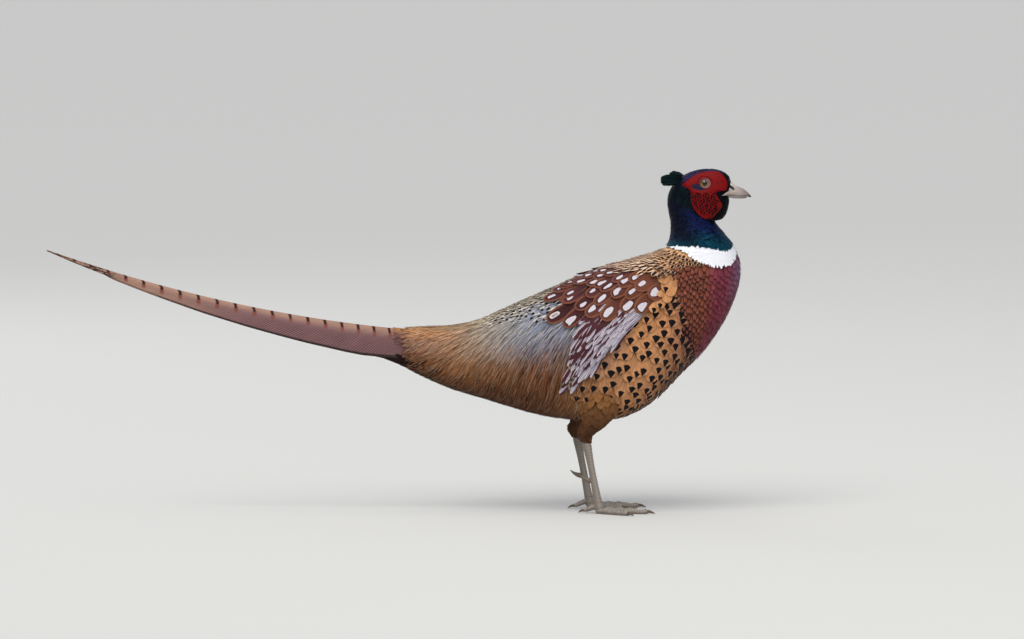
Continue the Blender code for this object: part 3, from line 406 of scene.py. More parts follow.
for thigh in hides[1:]:
    bpy.data.objects.remove(thigh)


def make_node(tree, kind, **settings):
    made = tree.nodes.new(kind)
    for name, value in settings.items():
        setattr(made, name, value)
    return made


def feed(tree, socket, value):
    """A socket's value, or the link that brings it."""
    if isinstance(value, bpy.types.NodeSocket):
        tree.links.new(value, socket)
    else:
        socket.default_value = value


def calc(tree, operation, *values, clamp=False):
    """One step of arithmetic on numbers and sockets."""
    made = make_node(tree, "ShaderNodeMath", operation=operation, use_clamp=clamp)
    for socket, value in zip(made.inputs, values):
        feed(tree, socket, value)
    return made.outputs[0]


def fade(tree, value, low, high):
    """0 at low, 1 at high, eased between; low may be the greater."""
    made = make_node(tree, "ShaderNodeMapRange", interpolation_type="SMOOTHSTEP")
    feed(tree, made.inputs["Value"], value)
    feed(tree, made.inputs["From Min"], low)
    feed(tree, made.inputs["From Max"], high)
    return made.outputs["Result"]


def blend_colours(tree, share, a, b, kind="MIX"):
    """Two colours mixed by a share."""
    made = make_node(tree, "ShaderNodeMix", data_type="RGBA", blend_type=kind)
    feed(tree, made.inputs["Factor"], share)
    for socket, colour in ((made.inputs[6], a), (made.inputs[7], b)):
        feed(tree, socket, colour if isinstance(colour, bpy.types.NodeSocket) else (*colour, 1.0))
    return made.outputs[2]


def read(tree, name, output="Color"):
    """An attribute of the mesh."""
    return make_node(tree, "ShaderNodeAttribute", attribute_name=name).outputs[output]


def split(tree, vector):
    made = make_node(tree, "ShaderNodeSeparateXYZ")
    tree.links.new(vector, made.inputs[0])
    return made.outputs["X"], made.outputs["Y"], made.outputs["Z"]


def noise(tree, vector, scale, detail=2.0):
    made = make_node(tree, "ShaderNodeTexNoise")
    made.inputs["Scale"].default_value = scale
    made.inputs["Detail"].default_value = detail
    tree.links.new(vector, made.inputs["Vector"])
    return made.outputs["Fac"]


def stretch(tree, x, y, z):
    made = make_node(tree, "ShaderNodeCombineXYZ")
    for socket, value in zip(made.inputs, (x, y, z)):
        feed(tree, socket, value)
    return made.outputs[0]


def new_finish(name, roughness=0.6, metallic=0.0, sheen=0.0, coat=0.0, gloss=0.12):
    """A material with its shader and the shader's plain values."""
    made = bpy.data.materials.new(name)
    made.use_nodes = True
    shader = made.node_tree.nodes["Principled BSDF"]
    shader.inputs["Roughness"].default_value = roughness
    shader.inputs["Metallic"].default_value = metallic
    shader.inputs["Sheen Weight"].default_value = sheen
    shader.inputs["Coat Weight"].default_value = coat
    shader.inputs["Specular IOR Level"].default_value = gloss
    return made, made.node_tree, shader


def raise_bumps(tree, shader, height, distance, strength=1.0):
    bump = make_node(tree, "ShaderNodeBump")
    bump.inputs["Distance"].default_value = distance
    bump.inputs["Strength"].default_value = strength
    tree.links.new(height, bump.inputs["Height"])
    tree.links.new(bump.outputs["Normal"], shader.inputs["Normal"])


def barb_group():
    """Barbs of a vane. Lines leave the shaft at a slant: a wave of the place along the vane less the distance from
    the shaft. A ridge is the shaft. Splits and a mottle vary with the feather's own seed. The shade is painted
    shade, darkest at the vane's root, where the feather above would lie over it."""
    group = bpy.data.node_groups.new("barbs", "ShaderNodeTree")
    for name, value in (("Count", 60.0), ("Slant", 0.5), ("Root Shade", 0.5), ("Streak", 0.3)):
        socket = group.interface.new_socket(name, in_out="INPUT", socket_type="NodeSocketFloat")
        socket.default_value = value
    for name in ("Height", "Shade"):
        group.interface.new_socket(name, in_out="OUTPUT", socket_type="NodeSocketFloat")
    given, out = group.nodes.new("NodeGroupInput"), group.nodes.new("NodeGroupOutput")
    x, y, _ = split(group, read(group, "vane", "Vector"))
    seed, _, _ = split(group, read(group, "mark", "Vector"))
    off = calc(group, "ABSOLUTE", x)
    line = calc(group, "SUBTRACT", y, calc(group, "MULTIPLY", off, given.outputs["Slant"]))
    line = calc(group, "ADD", line, calc(group, "MULTIPLY", seed, 7.3))
    wave = calc(group, "MULTIPLY", calc(group, "MULTIPLY", line, given.outputs["Count"]), 2 * math.pi)
    wave = calc(group, "ADD", calc(group, "MULTIPLY", calc(group, "SINE", wave), 0.5), 0.5)
    shaft = fade(group, off, 0.07, 0.02)
    thread = stretch(group, calc(group, "MULTIPLY", line, 30.0), calc(group, "MULTIPLY", off, 2.5), calc(group, "MULTIPLY", seed, 40.0))
    streak = noise(group, thread, 1.0, 3.0)
    height = calc(group, "ADD", calc(group, "MULTIPLY", wave, 0.45), calc(group, "MULTIPLY", streak, 0.5))
    height = calc(group, "ADD", height, calc(group, "MULTIPLY", shaft, 0.8))
    group.links.new(height, out.inputs["Height"])
    # Painted shade: each vane darker towards its root, as if shaded by the feather above; Root Shade is how dark the
    # root is
    depth = fade(group, y, 0.15, 0.62)
    shade = calc(group, "ADD", given.outputs["Root Shade"], calc(group, "MULTIPLY", depth, calc(group, "SUBTRACT", 1.0, given.outputs["Root Shade"])))
    vary = calc(group, "MULTIPLY", calc(group, "SUBTRACT", streak, 0.5), given.outputs["Streak"])
    vary = calc(group, "ADD", vary, calc(group, "MULTIPLY", calc(group, "SUBTRACT", wave, 0.5), 0.12))
    shade = calc(group, "MULTIPLY", shade, calc(group, "ADD", 1.0, calc(group, "MULTIPLY", vary, 2.0)))
    group.links.new(shade, out.inputs["Shade"])
    return group


BARBS = barb_group()


# root_shade sets how dark the painted shade is at each vane's root
def place_barbs(tree, count, slant, root_shade, streak):
    made = make_node(tree, "ShaderNodeGroup", node_tree=BARBS)
    for name, value in (("Count", count), ("Slant", slant), ("Root Shade", root_shade), ("Streak", streak)):
        made.inputs[name].default_value = value
    return made.outputs["Height"], made.outputs["Shade"]


def shaded(tree, colour, shade):
    """A colour multiplied by a shade."""
    return blend_colours(tree, 1.0, colour, make_grey(tree, shade), "MULTIPLY")


def make_grey(tree, value):
    made = make_node(tree, "ShaderNodeCombineColor")
    for socket in made.inputs:
        feed(tree, socket, value)
    return made.outputs[0]


hide, tree, shader = new_finish("hide", 0.8)
tree.links.new(read(tree, "tone"), shader.inputs["Base Color"])
raise_bumps(tree, shader, noise(tree, make_node(tree, "ShaderNodeTexCoord").outputs["Object"], 900.0), 0.4 * MM)
skin.data.materials.append(hide)
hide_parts("torso", "rump", "neck", "head", "thigh_left", "thigh_right")
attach(skin, "root")


# Making feathers. A vane is a grid of rows from root to tip and columns from edge to edge. Its shaft walks down
# the chart along the lie, its columns lie square to that, and a lift carries it up from skin to tip.


def vane_width(u, root=0.35, full=0.55, point=2.2):
    """Half width as a share: widens from the root to the full part, then closes like a superellipse at the tip."""
    grow = root + (1 - root) * np.sin(0.5 * math.pi * np.clip(u / full, 0, 1))
    shut = (1 - np.clip((u - full) / (1 - full), 0, 1) ** point) ** (1 / point)
    return np.where(u < full, grow, np.maximum(shut, 0.02))


def follow_lie(place, turn):
    """The feathers' direction as a vector in space: the lie's forward and upward share at a place and turn."""
    flow = near(place, turn, LIE)
    return np.stack([flow[..., 0], np.zeros_like(flow[..., 0]), flow[..., 1]], -1)


def grow_vanes(place, turn, length, half, rng, chart=BODY, lie=follow_lie, side=-1, low=-3.5 * MM, high=0.4 * MM,
               rise=None, rows=7, columns=5, shape=vane_width, camber=0.10, stray=0.06, thick=0.3 * MM, curl=0.0,
               uneven=0.25 * MM, base=None):
    """Vanes from roots on a chart. Returns their points, (feather, row, column, xyz), and what is known of each.

    Each step along the shaft goes the way of the lie, turned by the feather's own stray angle, and is changed to
    steps of place and turn by the inverse of the surface's metric. Lift goes from low at the root to high.
    """
    count = len(place)
    length = np.broadcast_to(length, (count,)) * (1 + 0.06 * rng.standard_normal(count))
    half = np.broadcast_to(half, (count,)) * (1 + 0.05 * rng.standard_normal(count))
    veer = stray * rng.standard_normal(count)
    u = 1 - (1 - np.linspace(0, 1, rows)) ** 1.35
    s, t = [np.array(place, float)], [np.array(turn, float)]
    sides = []
    for i in range(rows):
        _, along, around, normal = on_chart(chart, s[-1], t[-1])
        ahead = lie(s[-1], t[-1])
        ahead = unit(ahead - normal * dot(ahead, normal))
        across = np.cross(normal, ahead)
        ahead = ahead * np.cos(veer)[:, None] + across * np.sin(veer)[:, None]
        across = np.cross(normal, ahead)
        ee, ef, ff = dot(along, along)[:, 0], dot(along, around)[:, 0], dot(around, around)[:, 0]
        area = np.maximum(ee * ff - ef * ef, 1e-12)

        def steps(v, along=along, around=around, ee=ee, ef=ef, ff=ff, area=area):
            a, b = dot(along, v)[:, 0], dot(around, v)[:, 0]
            return (a * ff - b * ef) / area, (b * ee - a * ef) / area

        sides.append(steps(across))
        if i < rows - 1:
            ds, dt = steps(ahead)
            s.append(s[-1] + ds * length * (u[i + 1] - u[i]))
            t.append(t[-1] + dt * length * (u[i + 1] - u[i]))
    s, t = np.stack(s, 1)[..., None], np.stack(t, 1)[..., None]
    side_s = np.stack([a for a, _ in sides], 1)[..., None]
    side_t = np.stack([b for _, b in sides], 1)[..., None]
    v = np.linspace(-1, 1, columns)
    wide = shape(u)[None, :, None] * half[:, None, None] * v
    s_all, t_all = s + side_s * wide, t + side_t * wide
    point, _, _, normal = on_chart(chart, s_all, t_all)
    rise = u[None, :, None] if rise is None else rise(u)[None, :, None]
    low, high = (np.broadcast_to(k, (count,))[:, None, None] for k in (low, high))
    lift = low + (high - low) * rise + uneven * rng.uniform(-1, 1, count)[:, None, None]
    lift = lift - camber * half[:, None, None] * v**2 * shape(u)[None, :, None] ** 2
    lift = lift + curl * u[None, :, None] ** 3
    if base is not None:
        lift = lift + base(s_all, t_all)
    top = point + normal * lift[..., None]
    under = top - normal * (thick * np.minimum(1, 2.0 * (1 - 0.7 * u))[None, :, None, None])
    for grid in (top, under):
        grid[..., 1] *= -side
    x = (shape(u)[:, None] * v)[None] * np.ones((count, 1, 1))
    y = np.broadcast_to(u[None, :, None], x.shape)
    rim = np.minimum((1 - np.abs(v))[None, None] * shape(u)[None, :, None], (1 - u)[None, :, None] * (length / half)[:, None, None])
    return {
        "top": top, "under": under, "side": side, "place": np.asarray(place, float), "turn": np.asarray(turn, float),
        "vane": np.stack([x, y, rim * np.ones_like(x)], -1), "tip": (s[:, -1, 0], t[:, -1, 0]),
        "middle": (s[:, int(0.7 * rows), 0], t[:, int(0.7 * rows), 0]), "seed": rng.uniform(0, 1, count),
    }


def feather_piece(name, groups, finish, replaces=()):
    """One piece from groups of vanes. A vane's two faces share their rim, and so it is closed."""
    points, faces, vane, tone, mark, uv, start = [], [], [], [], [], [], 0
    for g in groups:
        count, rows, columns = g["top"].shape[:3]
        index = np.arange(rows * columns).reshape(rows, columns)
        inside = index[1:-1, 1:-1].ravel()
        below = index.copy()
        below[1:-1, 1:-1] = rows * columns + np.arange(len(inside)).reshape(rows - 2, columns - 2)
        quads = np.concatenate(
            [
                np.stack([index[:-1, :-1], index[1:, :-1], index[1:, 1:], index[:-1, 1:]], -1).reshape(-1, 4),
                np.stack([below[:-1, :-1], below[:-1, 1:], below[1:, 1:], below[1:, :-1]], -1).reshape(-1, 4),
            ]
        )
        if g["side"] > 0:
            quads = quads[:, ::-1]
        each = rows * columns + len(inside)
        top = g["top"].reshape(count, -1, 3)
        points.append(np.concatenate([top, g["under"].reshape(count, -1, 3)[:, inside]], 1).reshape(-1, 3))
        faces.append((quads[None] + (start + each * np.arange(count))[:, None, None]).reshape(-1, 4))
        flat = g["vane"].reshape(count, -1, 3)
        vane.append(np.concatenate([flat, flat[:, inside]], 1).reshape(-1, 3))
        tone.append(np.repeat(g["tone"], each, 0))
        mark.append(np.repeat(np.stack([g["seed"], *(np.broadcast_to(g.get(k, 0.0), (count,)) for k in ("a", "b"))], -1), each, 0))
        root = np.stack([0.5 + g["side"] * 0.46 * g["turn"] / 1.0 * 0.5, 0.02 + 0.9 * (g["place"] + 1.5) / 28], -1)
        patch = np.concatenate([flat, flat[:, inside]], 1)[..., :2] * (1.0, 2.0) - (0.0, 1.0)
        uv.append((root[:, None] + 0.0015 * patch).reshape(-1, 2))
        start += each * count
    piece = set_mesh(name, np.concatenate(points), np.concatenate(faces), 50)
    set_values(piece, "vane", "FLOAT_VECTOR", np.concatenate(vane))
    set_values(piece, "tone", "FLOAT_COLOR", np.concatenate(tone))
    set_values(piece, "mark", "FLOAT_VECTOR", np.concatenate(mark))
    set_bake_map(piece, np.concatenate(uv))
    piece.data.materials.append(finish)
    if replaces:
        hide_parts(*replaces)
    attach(piece, "root")
    return piece


def rows_of_roots(places, turns, pitch, gap, chart=BODY):
    """Roots in staggered columns. Columns stand a gap apart across the width at the middle place; along each, roots
    follow at the pitch, which may depend on place and turn, by summing the length over the pitch."""
    fine = np.linspace(places[0], places[1], 400)
    test = np.linspace(turns[0], turns[1], 60)
    grid, _, around, _ = on_chart(chart, np.median(fine) + 0 * test, test)
    width = np.linalg.norm(np.diff(grid, axis=0), axis=-1).sum()
    columns = max(2, int(round(width / gap)))
    found = []
    for k in range(columns):
        turn = turns[0] + (turns[1] - turns[0]) * (k + 0.5) / columns
        _, along, _, _ = on_chart(chart, fine, np.full(400, turn))
        size = pitch(fine, np.full(400, turn)) if callable(pitch) else pitch
        count = np.cumsum(np.linalg.norm(along, axis=-1) * (fine[1] - fine[0]) / size)
        wanted = np.arange(0.5 * (k % 2), count[-1], 1.0) + 0.25
        found.append(np.stack([np.interp(wanted, count, fine), np.full(len(wanted), turn)], -1))
    return np.concatenate(found)


def jittered(roots, rng, amount):
    return roots + rng.uniform(-1, 1, roots.shape) * amount


def pick(g, keep):
    """The vanes of a group that are kept."""
    count = len(keep)
    picked = {k: v[keep] if isinstance(v, np.ndarray) and len(v) == count else v for k, v in g.items()}
    for k in ("tip", "middle"):
        picked[k] = tuple(part[keep] for part in g[k])
    return picked


def varied(colour, rng, amount=0.12):
    """Each feather's colour, a little lighter or darker than its place's."""
    return colour * (1 + amount * rng.standard_normal((len(colour), 1)))


# Belly, vent and thighs. Soft, loose, dark feathers, brown to almost black, that hang over one another.

soft, tree, shader = new_finish("soft plumage", 0.8)
height, shade = place_barbs(tree, 26.0, 0.45, 0.5, 0.7)
tree.links.new(shaded(tree, read(tree, "tone"), shade), shader.inputs["Base Color"])
raise_bumps(tree, shader, height, 0.35 * MM)

rng = np.random.default_rng(11)
belly = []
for side in (-1, 1):
    roots = jittered(rows_of_roots((1.5, 11.0), (0.74, 1.0), 8.5 * MM, 8.0 * MM), rng, (0.08, 0.006))
    g = grow_vanes(roots[:, 0], roots[:, 1], 26 * MM, 6.5 * MM, rng, side=side, high=-0.2 * MM, stray=0.10)
    g["tone"] = varied(plumage_colour(*g["middle"]), rng)
    belly.append(g)
feather_piece("belly_feathers", belly, soft)


def straight_down(place, turn):
    return np.stack([-0.15 + 0 * place, 0 * place, -1 + 0 * place], -1)


thighs = []
for side in (-1, 1):
    roots = jittered(rows_of_roots((0.1, 4.4), (-1.0, 1.0), 6.0 * MM, 6.5 * MM, thigh_chart[side]), rng, (0.08, 0.02))
    g = grow_vanes(roots[:, 0], roots[:, 1], 17 * MM, 4.5 * MM, rng, chart=thigh_chart[side], lie=straight_down,
                   side=-1, low=-2.0 * MM, high=0.6 * MM, stray=0.08)
    light, dark = np.array((0.30, 0.13, 0.045)), np.array((0.09, 0.038, 0.016))
    g["tone"] = varied(light + (dark - light) * ease(g["middle"][0], 0.5, 3.5)[:, None], rng)
    thighs.append(g)
feather_piece("thigh_feathers", thighs, soft)


# Breast. Firm scales from under the collar to the belly: copper with a black rim at the shoulder, turning to a
# glossy purple maroon in front, where the rims fade, with a violet sheen painted on the front of the breast.

scaled, tree, shader = new_finish("breast scales", 0.42, gloss=0.05)
height, shade = place_barbs(tree, 30.0, 0.4, 0.55, 0.35)
x, y, rim = split(tree, read(tree, "vane", "Vector"))
_, edging, _ = split(tree, read(tree, "mark", "Vector"))
centre = calc(tree, "MULTIPLY", fade(tree, calc(tree, "ABSOLUTE", x), 0.45, 0.0), 0.34)
limit = calc(tree, "MULTIPLY", edging, 0.42)
band = fade(tree, rim, calc(tree, "ADD", centre, limit), calc(tree, "ADD", centre, calc(tree, "MULTIPLY", limit, 0.5)))
band = calc(tree, "MULTIPLY", calc(tree, "MULTIPLY", band, fade(tree, y, 0.55, 0.7)), edging, clamp=True)
colour = shaded(tree, read(tree, "tone"), shade)
tree.links.new(blend_colours(tree, band, colour, (0.010, 0.007, 0.012)), shader.inputs["Base Color"])
raise_bumps(tree, shader, height, 0.2 * MM)

BREAST_EDGE = ((0.30, 0.37, 0.435, 0.515, 0.605, 0.705, 0.82, 1.0), (11.05, 10.87, 10.82, 10.80, 10.75, 10.65, 10.55, 10.45))
MAROON_EDGE = ((10.7, 11.05, 11.7, 12.35, 13.15), (0.885, 0.815, 0.74, 0.655, 0.60))
rng = np.random.default_rng(21)
breast = []
for side in (-1, 1):
    roots = jittered(rows_of_roots((10.2, 16.0), (0.26, 1.02), 5.9 * MM, 4.1 * MM), rng, (0.03, 0.003))
    top = np.interp(roots[:, 1], COLLAR_TURN, COLLAR_LOW)
    upper = np.interp(roots[:, 0], (10.2, 10.9, 12.2, 12.9, 13.4, 15.0), (0.24, 0.26, 0.30, 0.35, 0.42, 0.5))
    roots = roots[(roots[:, 0] < top + 0.55) & (roots[:, 1] > upper)]
    g = grow_vanes(roots[:, 0], roots[:, 1], 17 * MM, 3.0 * MM, rng, side=side, high=0.35 * MM, stray=0.03)
    g = pick(g, g["tip"][0] > np.interp(g["tip"][1], *BREAST_EDGE) - 0.12 + 0.10 * rng.uniform(-1, 1, len(roots)))
    place, turn = g["middle"]
    purple = ease(turn - np.interp(place, *MAROON_EDGE), -0.09, 0.05)[:, None]
    # Painted sheen: the front of the breast turns lighter and violet, a highlight painted into the colour
    sheen = (ease(place, 12.0, 13.6) * ease(turn, 0.7, 0.9))[:, None]
    copper, maroon, violet = np.array((0.220, 0.066, 0.039)), np.array((0.195, 0.037, 0.056)), np.array((0.235, 0.105, 0.175))
    maroon = maroon + (violet - maroon) * sheen
    g["tone"] = varied(copper + (maroon - copper) * purple, rng, 0.12)
    rear = ease(np.interp(turn, *BREAST_EDGE) + 0.36 - place, 0, 0.35)
    g["a"] = np.clip(0.80 - 0.45 * purple[:, 0] + 0.65 * rear, 0.0, 1.5)
    breast.append(g)
feather_piece("breast_feathers", breast, scaled)


# Flank. Broad golden feathers, each with a black wedge that points to its tip.

golden, tree, shader = new_finish("golden flank", 0.55)
height, shade = place_barbs(tree, 46.0, 0.45, 0.6, 0.35)
x, y, rim = split(tree, read(tree, "vane", "Vector"))
seed, size, _ = split(tree, read(tree, "mark", "Vector"))
ragged = noise(tree, stretch(tree, calc(tree, "MULTIPLY", x, 9.0), calc(tree, "MULTIPLY", y, 4.0), calc(tree, "MULTIPLY", seed, 30.0)), 1.0)
ragged = calc(tree, "MULTIPLY", calc(tree, "SUBTRACT", ragged, 0.5), 0.05)
down = calc(tree, "DIVIDE", calc(tree, "SUBTRACT", y, 0.71), 0.29)
allowed = calc(tree, "POWER", calc(tree, "MAXIMUM", calc(tree, "SUBTRACT", 1.05, down), 0.0), 0.75)
allowed = calc(tree, "MULTIPLY", allowed, calc(tree, "MULTIPLY", size, 0.54))
off = calc(tree, "ADD", calc(tree, "ABSOLUTE", x), ragged)
wedge = fade(tree, calc(tree, "SUBTRACT", allowed, off), -0.02, 0.05)
brow = calc(tree, "SUBTRACT", calc(tree, "ADD", y, ragged), calc(tree, "MULTIPLY", calc(tree, "POWER", off, 2.0), 0.35))
wedge = calc(tree, "MULTIPLY", wedge, fade(tree, brow, 0.69, 0.72))
colour = shaded(tree, read(tree, "tone"), shade)
streak = noise(tree, stretch(tree, calc(tree, "MULTIPLY", x, 5.0), calc(tree, "MULTIPLY", y, 2.0), calc(tree, "MULTIPLY", seed, 40.0)), 1.0)
colour = blend_colours(tree, calc(tree, "MULTIPLY", fade(tree, streak, 0.40, 0.70), 0.45), colour, (0.72, 0.40, 0.20))
colour = blend_colours(tree, calc(tree, "MULTIPLY", fade(tree, rim, 0.12, 0.0), 0.22), colour, (0.66, 0.34, 0.14))
tree.links.new(blend_colours(tree, wedge, colour, (0.005, 0.004, 0.006)), shader.inputs["Base Color"])
raise_bumps(tree, shader, height, 0.3 * MM)

rng = np.random.default_rng(31)
flank = []
for side in (-1, 1):
    roots = jittered(rows_of_roots((6.6, 12.4), (0.30, 0.93), 12.6 * MM, 11.6 * MM), rng, (0.06, 0.006))
    g = grow_vanes(roots[:, 0], roots[:, 1], 27 * MM, 8.8 * MM, rng, side=side, rows=9, columns=7, high=0.5 * MM, stray=0.06)
    tip_s, tip_t = g["tip"]
    g = pick(g, (tip_s < np.interp(tip_t, *BREAST_EDGE)) & (tip_s > np.where(tip_t < 0.6, 6.9, 6.3)) & (tip_t < 0.93))
    g["tone"] = varied(near(*g["middle"], PLUMAGE, (0.9, 0.1)), rng, 0.08)
    g["a"] = rng.uniform(0.85, 1.15, len(g["tone"]))
    flank.append(g)
feather_piece("flank_feathers", flank, golden)


# Mantle and back. Small firm feathers in close rows: golden buff, each with a black streak, turning to maroon
# with a cream streak behind the shoulders, and to olive grey with dark chevrons on the lower back.

WING_RISE = 4.5 * MM


def wing_rise(place, turn):
    """How far the folded wing stands off the flank: a long bulge round the line from shoulder to wing tip."""
    start, end = np.array((9.3 * 29, 0.28 * 190)), np.array((7.0 * 29, 0.47 * 190))
    at = np.stack([place * 29, turn * 190], -1)
    share = np.clip(((at - start) @ (end - start)) / ((end - start) @ (end - start)), 0, 1)
    off = np.linalg.norm(at - start - share[..., None] * (end - start), axis=-1)
    return WING_RISE * np.sqrt(np.clip(1 - (off / (36 - 16 * share)) ** 2, 0, 1))


streaked, tree, shader = new_finish("mantle", 0.55)
height, shade = place_barbs(tree, 34.0, 0.4, 0.5, 0.35)
x, y, rim = split(tree, read(tree, "vane", "Vector"))
seed, cream, strength = split(tree, read(tree, "mark", "Vector"))
off = calc(tree, "ABSOLUTE", x)
colour = shaded(tree, read(tree, "tone"), shade)
px, _, _ = split(tree, make_node(tree, "ShaderNodeTexCoord").outputs["Object"])
pale = blend_colours(tree, calc(tree, "SUBTRACT", 0.75, calc(tree, "MULTIPLY", fade(tree, px, 0.265, 0.30), 0.45)), colour, (1.0, 0.84, 0.66))
colour = blend_colours(tree, fade(tree, off, 0.46, 0.64), colour, pale)
rear, front = fade(tree, px, 0.19, 0.165), fade(tree, px, 0.265, 0.30)
broad = calc(tree, "ADD", 0.40, calc(tree, "MULTIPLY", calc(tree, "ADD", rear, front), 0.14))
dark = fade(tree, calc(tree, "SUBTRACT", calc(tree, "MULTIPLY", fade(tree, y, 1.0, 0.84), broad), off), -0.03, 0.04)
opening = calc(tree, "ADD", 0.42, calc(tree, "MULTIPLY", calc(tree, "ADD", rear, calc(tree, "MULTIPLY", front, 0.8)), 0.28))
dark = calc(tree, "MULTIPLY", dark, fade(tree, calc(tree, "SUBTRACT", y, opening), 0.0, 0.06))
colour = blend_colours(tree, calc(tree, "MULTIPLY", dark, strength), colour, (0.008, 0.010, 0.016))
light = fade(tree, calc(tree, "SUBTRACT", calc(tree, "MULTIPLY", fade(tree, y, 0.98, 0.75), 0.24), off), -0.03, 0.04)
light = calc(tree, "MULTIPLY", light, fade(tree, y, 0.62, 0.68))
colour = blend_colours(tree, calc(tree, "MULTIPLY", light, cream), colour, (0.66, 0.52, 0.40))
tree.links.new(colour, shader.inputs["Base Color"])
raise_bumps(tree, shader, height, 0.2 * MM)

FLECK_EDGE = ((2.4, 3.1, 3.9, 4.65, 5.45, 5.9, 6.3), (0.0, 0.20, 0.23, 0.255, 0.295, 0.31, 0.32))
MANTLE_EDGE = (
    (6.3, 6.31, 7.15, 7.45, 7.9, 8.3, 8.65, 9.05, 9.45, 9.9, 10.45, 11.05, 11.65, 12.3, 12.7, 13.05, 13.4, 14.0),
    (0.32, 0.03, 0.05, 0.09, 0.19, 0.225, 0.24, 0.265, 0.29, 0.312, 0.33, 0.33, 0.34, 0.375, 0.44, 0.515, 0.58, 0.62),
)
rng = np.random.default_rng(41)
mantle = []
for side in (-1, 1):
    for region, (pitch, gap, half) in enumerate(((9.2, 6.0, 4.0), (7.6, 4.6, 2.9), (5.0, 4.2, 2.9))):
        roots = jittered(rows_of_roots((3.0, 14.2), (0.0, 0.64), pitch * MM, gap * MM), rng, (0.05, 0.004))
        small = np.interp(roots[:, 0], (6.5, 8.0, 11.2, 12.6), (17, 20, 20, 14)) * MM
        small = np.minimum(small, 13.5 * MM) if region == 2 else small
        top = np.interp(roots[:, 1], COLLAR_TURN, COLLAR_LOW)
        front = 11.3 - 2.0 * roots[:, 1]
        zone = ((3.0, 6.9), (6.5, front + 0.35), (front, 15.0))[region]
        keep = (roots[:, 0] < top + 0.8) & (roots[:, 0] > zone[0]) & (roots[:, 0] < zone[1])
        keep &= (roots[:, 0] > 6.8) | (roots[:, 1] < 0.02 + np.interp(roots[:, 0], *FLECK_EDGE))
        roots, small = roots[keep], small[keep]
        edge = np.interp(roots[:, 0] - 0.45, *MANTLE_EDGE)
        over = 4.7 * MM * ease(roots[:, 1], edge - 0.16, edge - 0.05) * ease(roots[:, 0], 7.6, 8.6) * ease(12.2 - roots[:, 0], 0, 1.0)
        g = grow_vanes(roots[:, 0], roots[:, 1], small, half * MM, rng, side=side, high=0.3 * MM + over, stray=0.05,
                       base=wing_rise, camber=0.05)
        tip_place, tip_turn = g["tip"]
        edge = np.where(tip_place > 6.5, np.interp(tip_place, *MANTLE_EDGE), np.interp(tip_place, *FLECK_EDGE) + 0.03)
        g = pick(g, tip_turn < edge + 0.015)
        place, turn = g["middle"]
        g["tone"] = varied(near(place, turn, PLUMAGE, (0.9, 0.1)), rng, 0.14)
        g["a"] = ease(7.9 - place, 0, 0.8) * ease(place, 6.2, 7.0)
        g["b"] = 0.97 * ease(place, 3.0, 3.8) * (1 - 0.6 * ease(7.8 - place, 0, 0.7) * ease(place, 6.3, 7.0))
        mantle.append(g)
feather_piece("mantle_feathers", mantle, streaked)


# Rump. Long, loose feathers whose barbs don't hook together, so they hang like hair: grey-blue below the wing,
# olive over the back, and rusty towards the tail.

loose, tree, shader = new_finish("rump strands", 0.75)
height, shade = place_barbs(tree, 20.0, 0.5, 0.45, 1.0)
x, y, _ = split(tree, read(tree, "vane", "Vector"))
seed, _, _ = split(tree, read(tree, "mark", "Vector"))
hair = noise(tree, stretch(tree, calc(tree, "MULTIPLY", x, 7.0), calc(tree, "MULTIPLY", y, 1.3), calc(tree, "MULTIPLY", seed, 60.0)), 1.0, 3.0)
colour = shaded(tree, read(tree, "tone"), shade)
colour = blend_colours(tree, calc(tree, "MULTIPLY", fade(tree, hair, 0.55, 0.72), 0.55), colour, (0.50, 0.42, 0.31))
colour = blend_colours(tree, calc(tree, "MULTIPLY", fade(tree, hair, 0.45, 0.30), 0.55), colour, (0.045, 0.035, 0.03))
tree.links.new(colour, shader.inputs["Base Color"])
raise_bumps(tree, shader, height, 0.3 * MM)


def strand_width(u):
    """Narrow at the root, widest at a third, and drawn out to a fine tip."""
    return np.where(u < 0.35, 0.5 + 0.5 * np.sin(0.5 * math.pi * u / 0.35), np.maximum(1 - ((u - 0.35) / 0.65) ** 1.6, 0.03))


RUMP_LONG = ((0.3, 1.2, 2.4, 4.2), (11, 20, 27, 32))
rng = np.random.default_rng(51)
rump = []
for side in (-1, 1):
    roots = jittered(rows_of_roots((0.35, 7.2), (0.0, 0.88), 6.6 * MM, 4.8 * MM), rng, (0.10, 0.008))
    long = np.interp(roots[:, 0], *RUMP_LONG) * np.where(roots[:, 0] < 1.5, rng.uniform(0.7, 1.25, len(roots)), 1.0)
    g = grow_vanes(roots[:, 0], roots[:, 1], long * MM, 3.0 * MM, rng,
                   side=side, high=0.1 * MM, stray=0.08, shape=strand_width, rows=6, camber=0.15, uneven=0.4 * MM)
    g["tone"] = varied(near(*g["middle"], PLUMAGE, (0.9, 0.075)) * 0.9, rng, 0.15)
    rump.append(g)
feather_piece("rump_feathers", rump, loose)

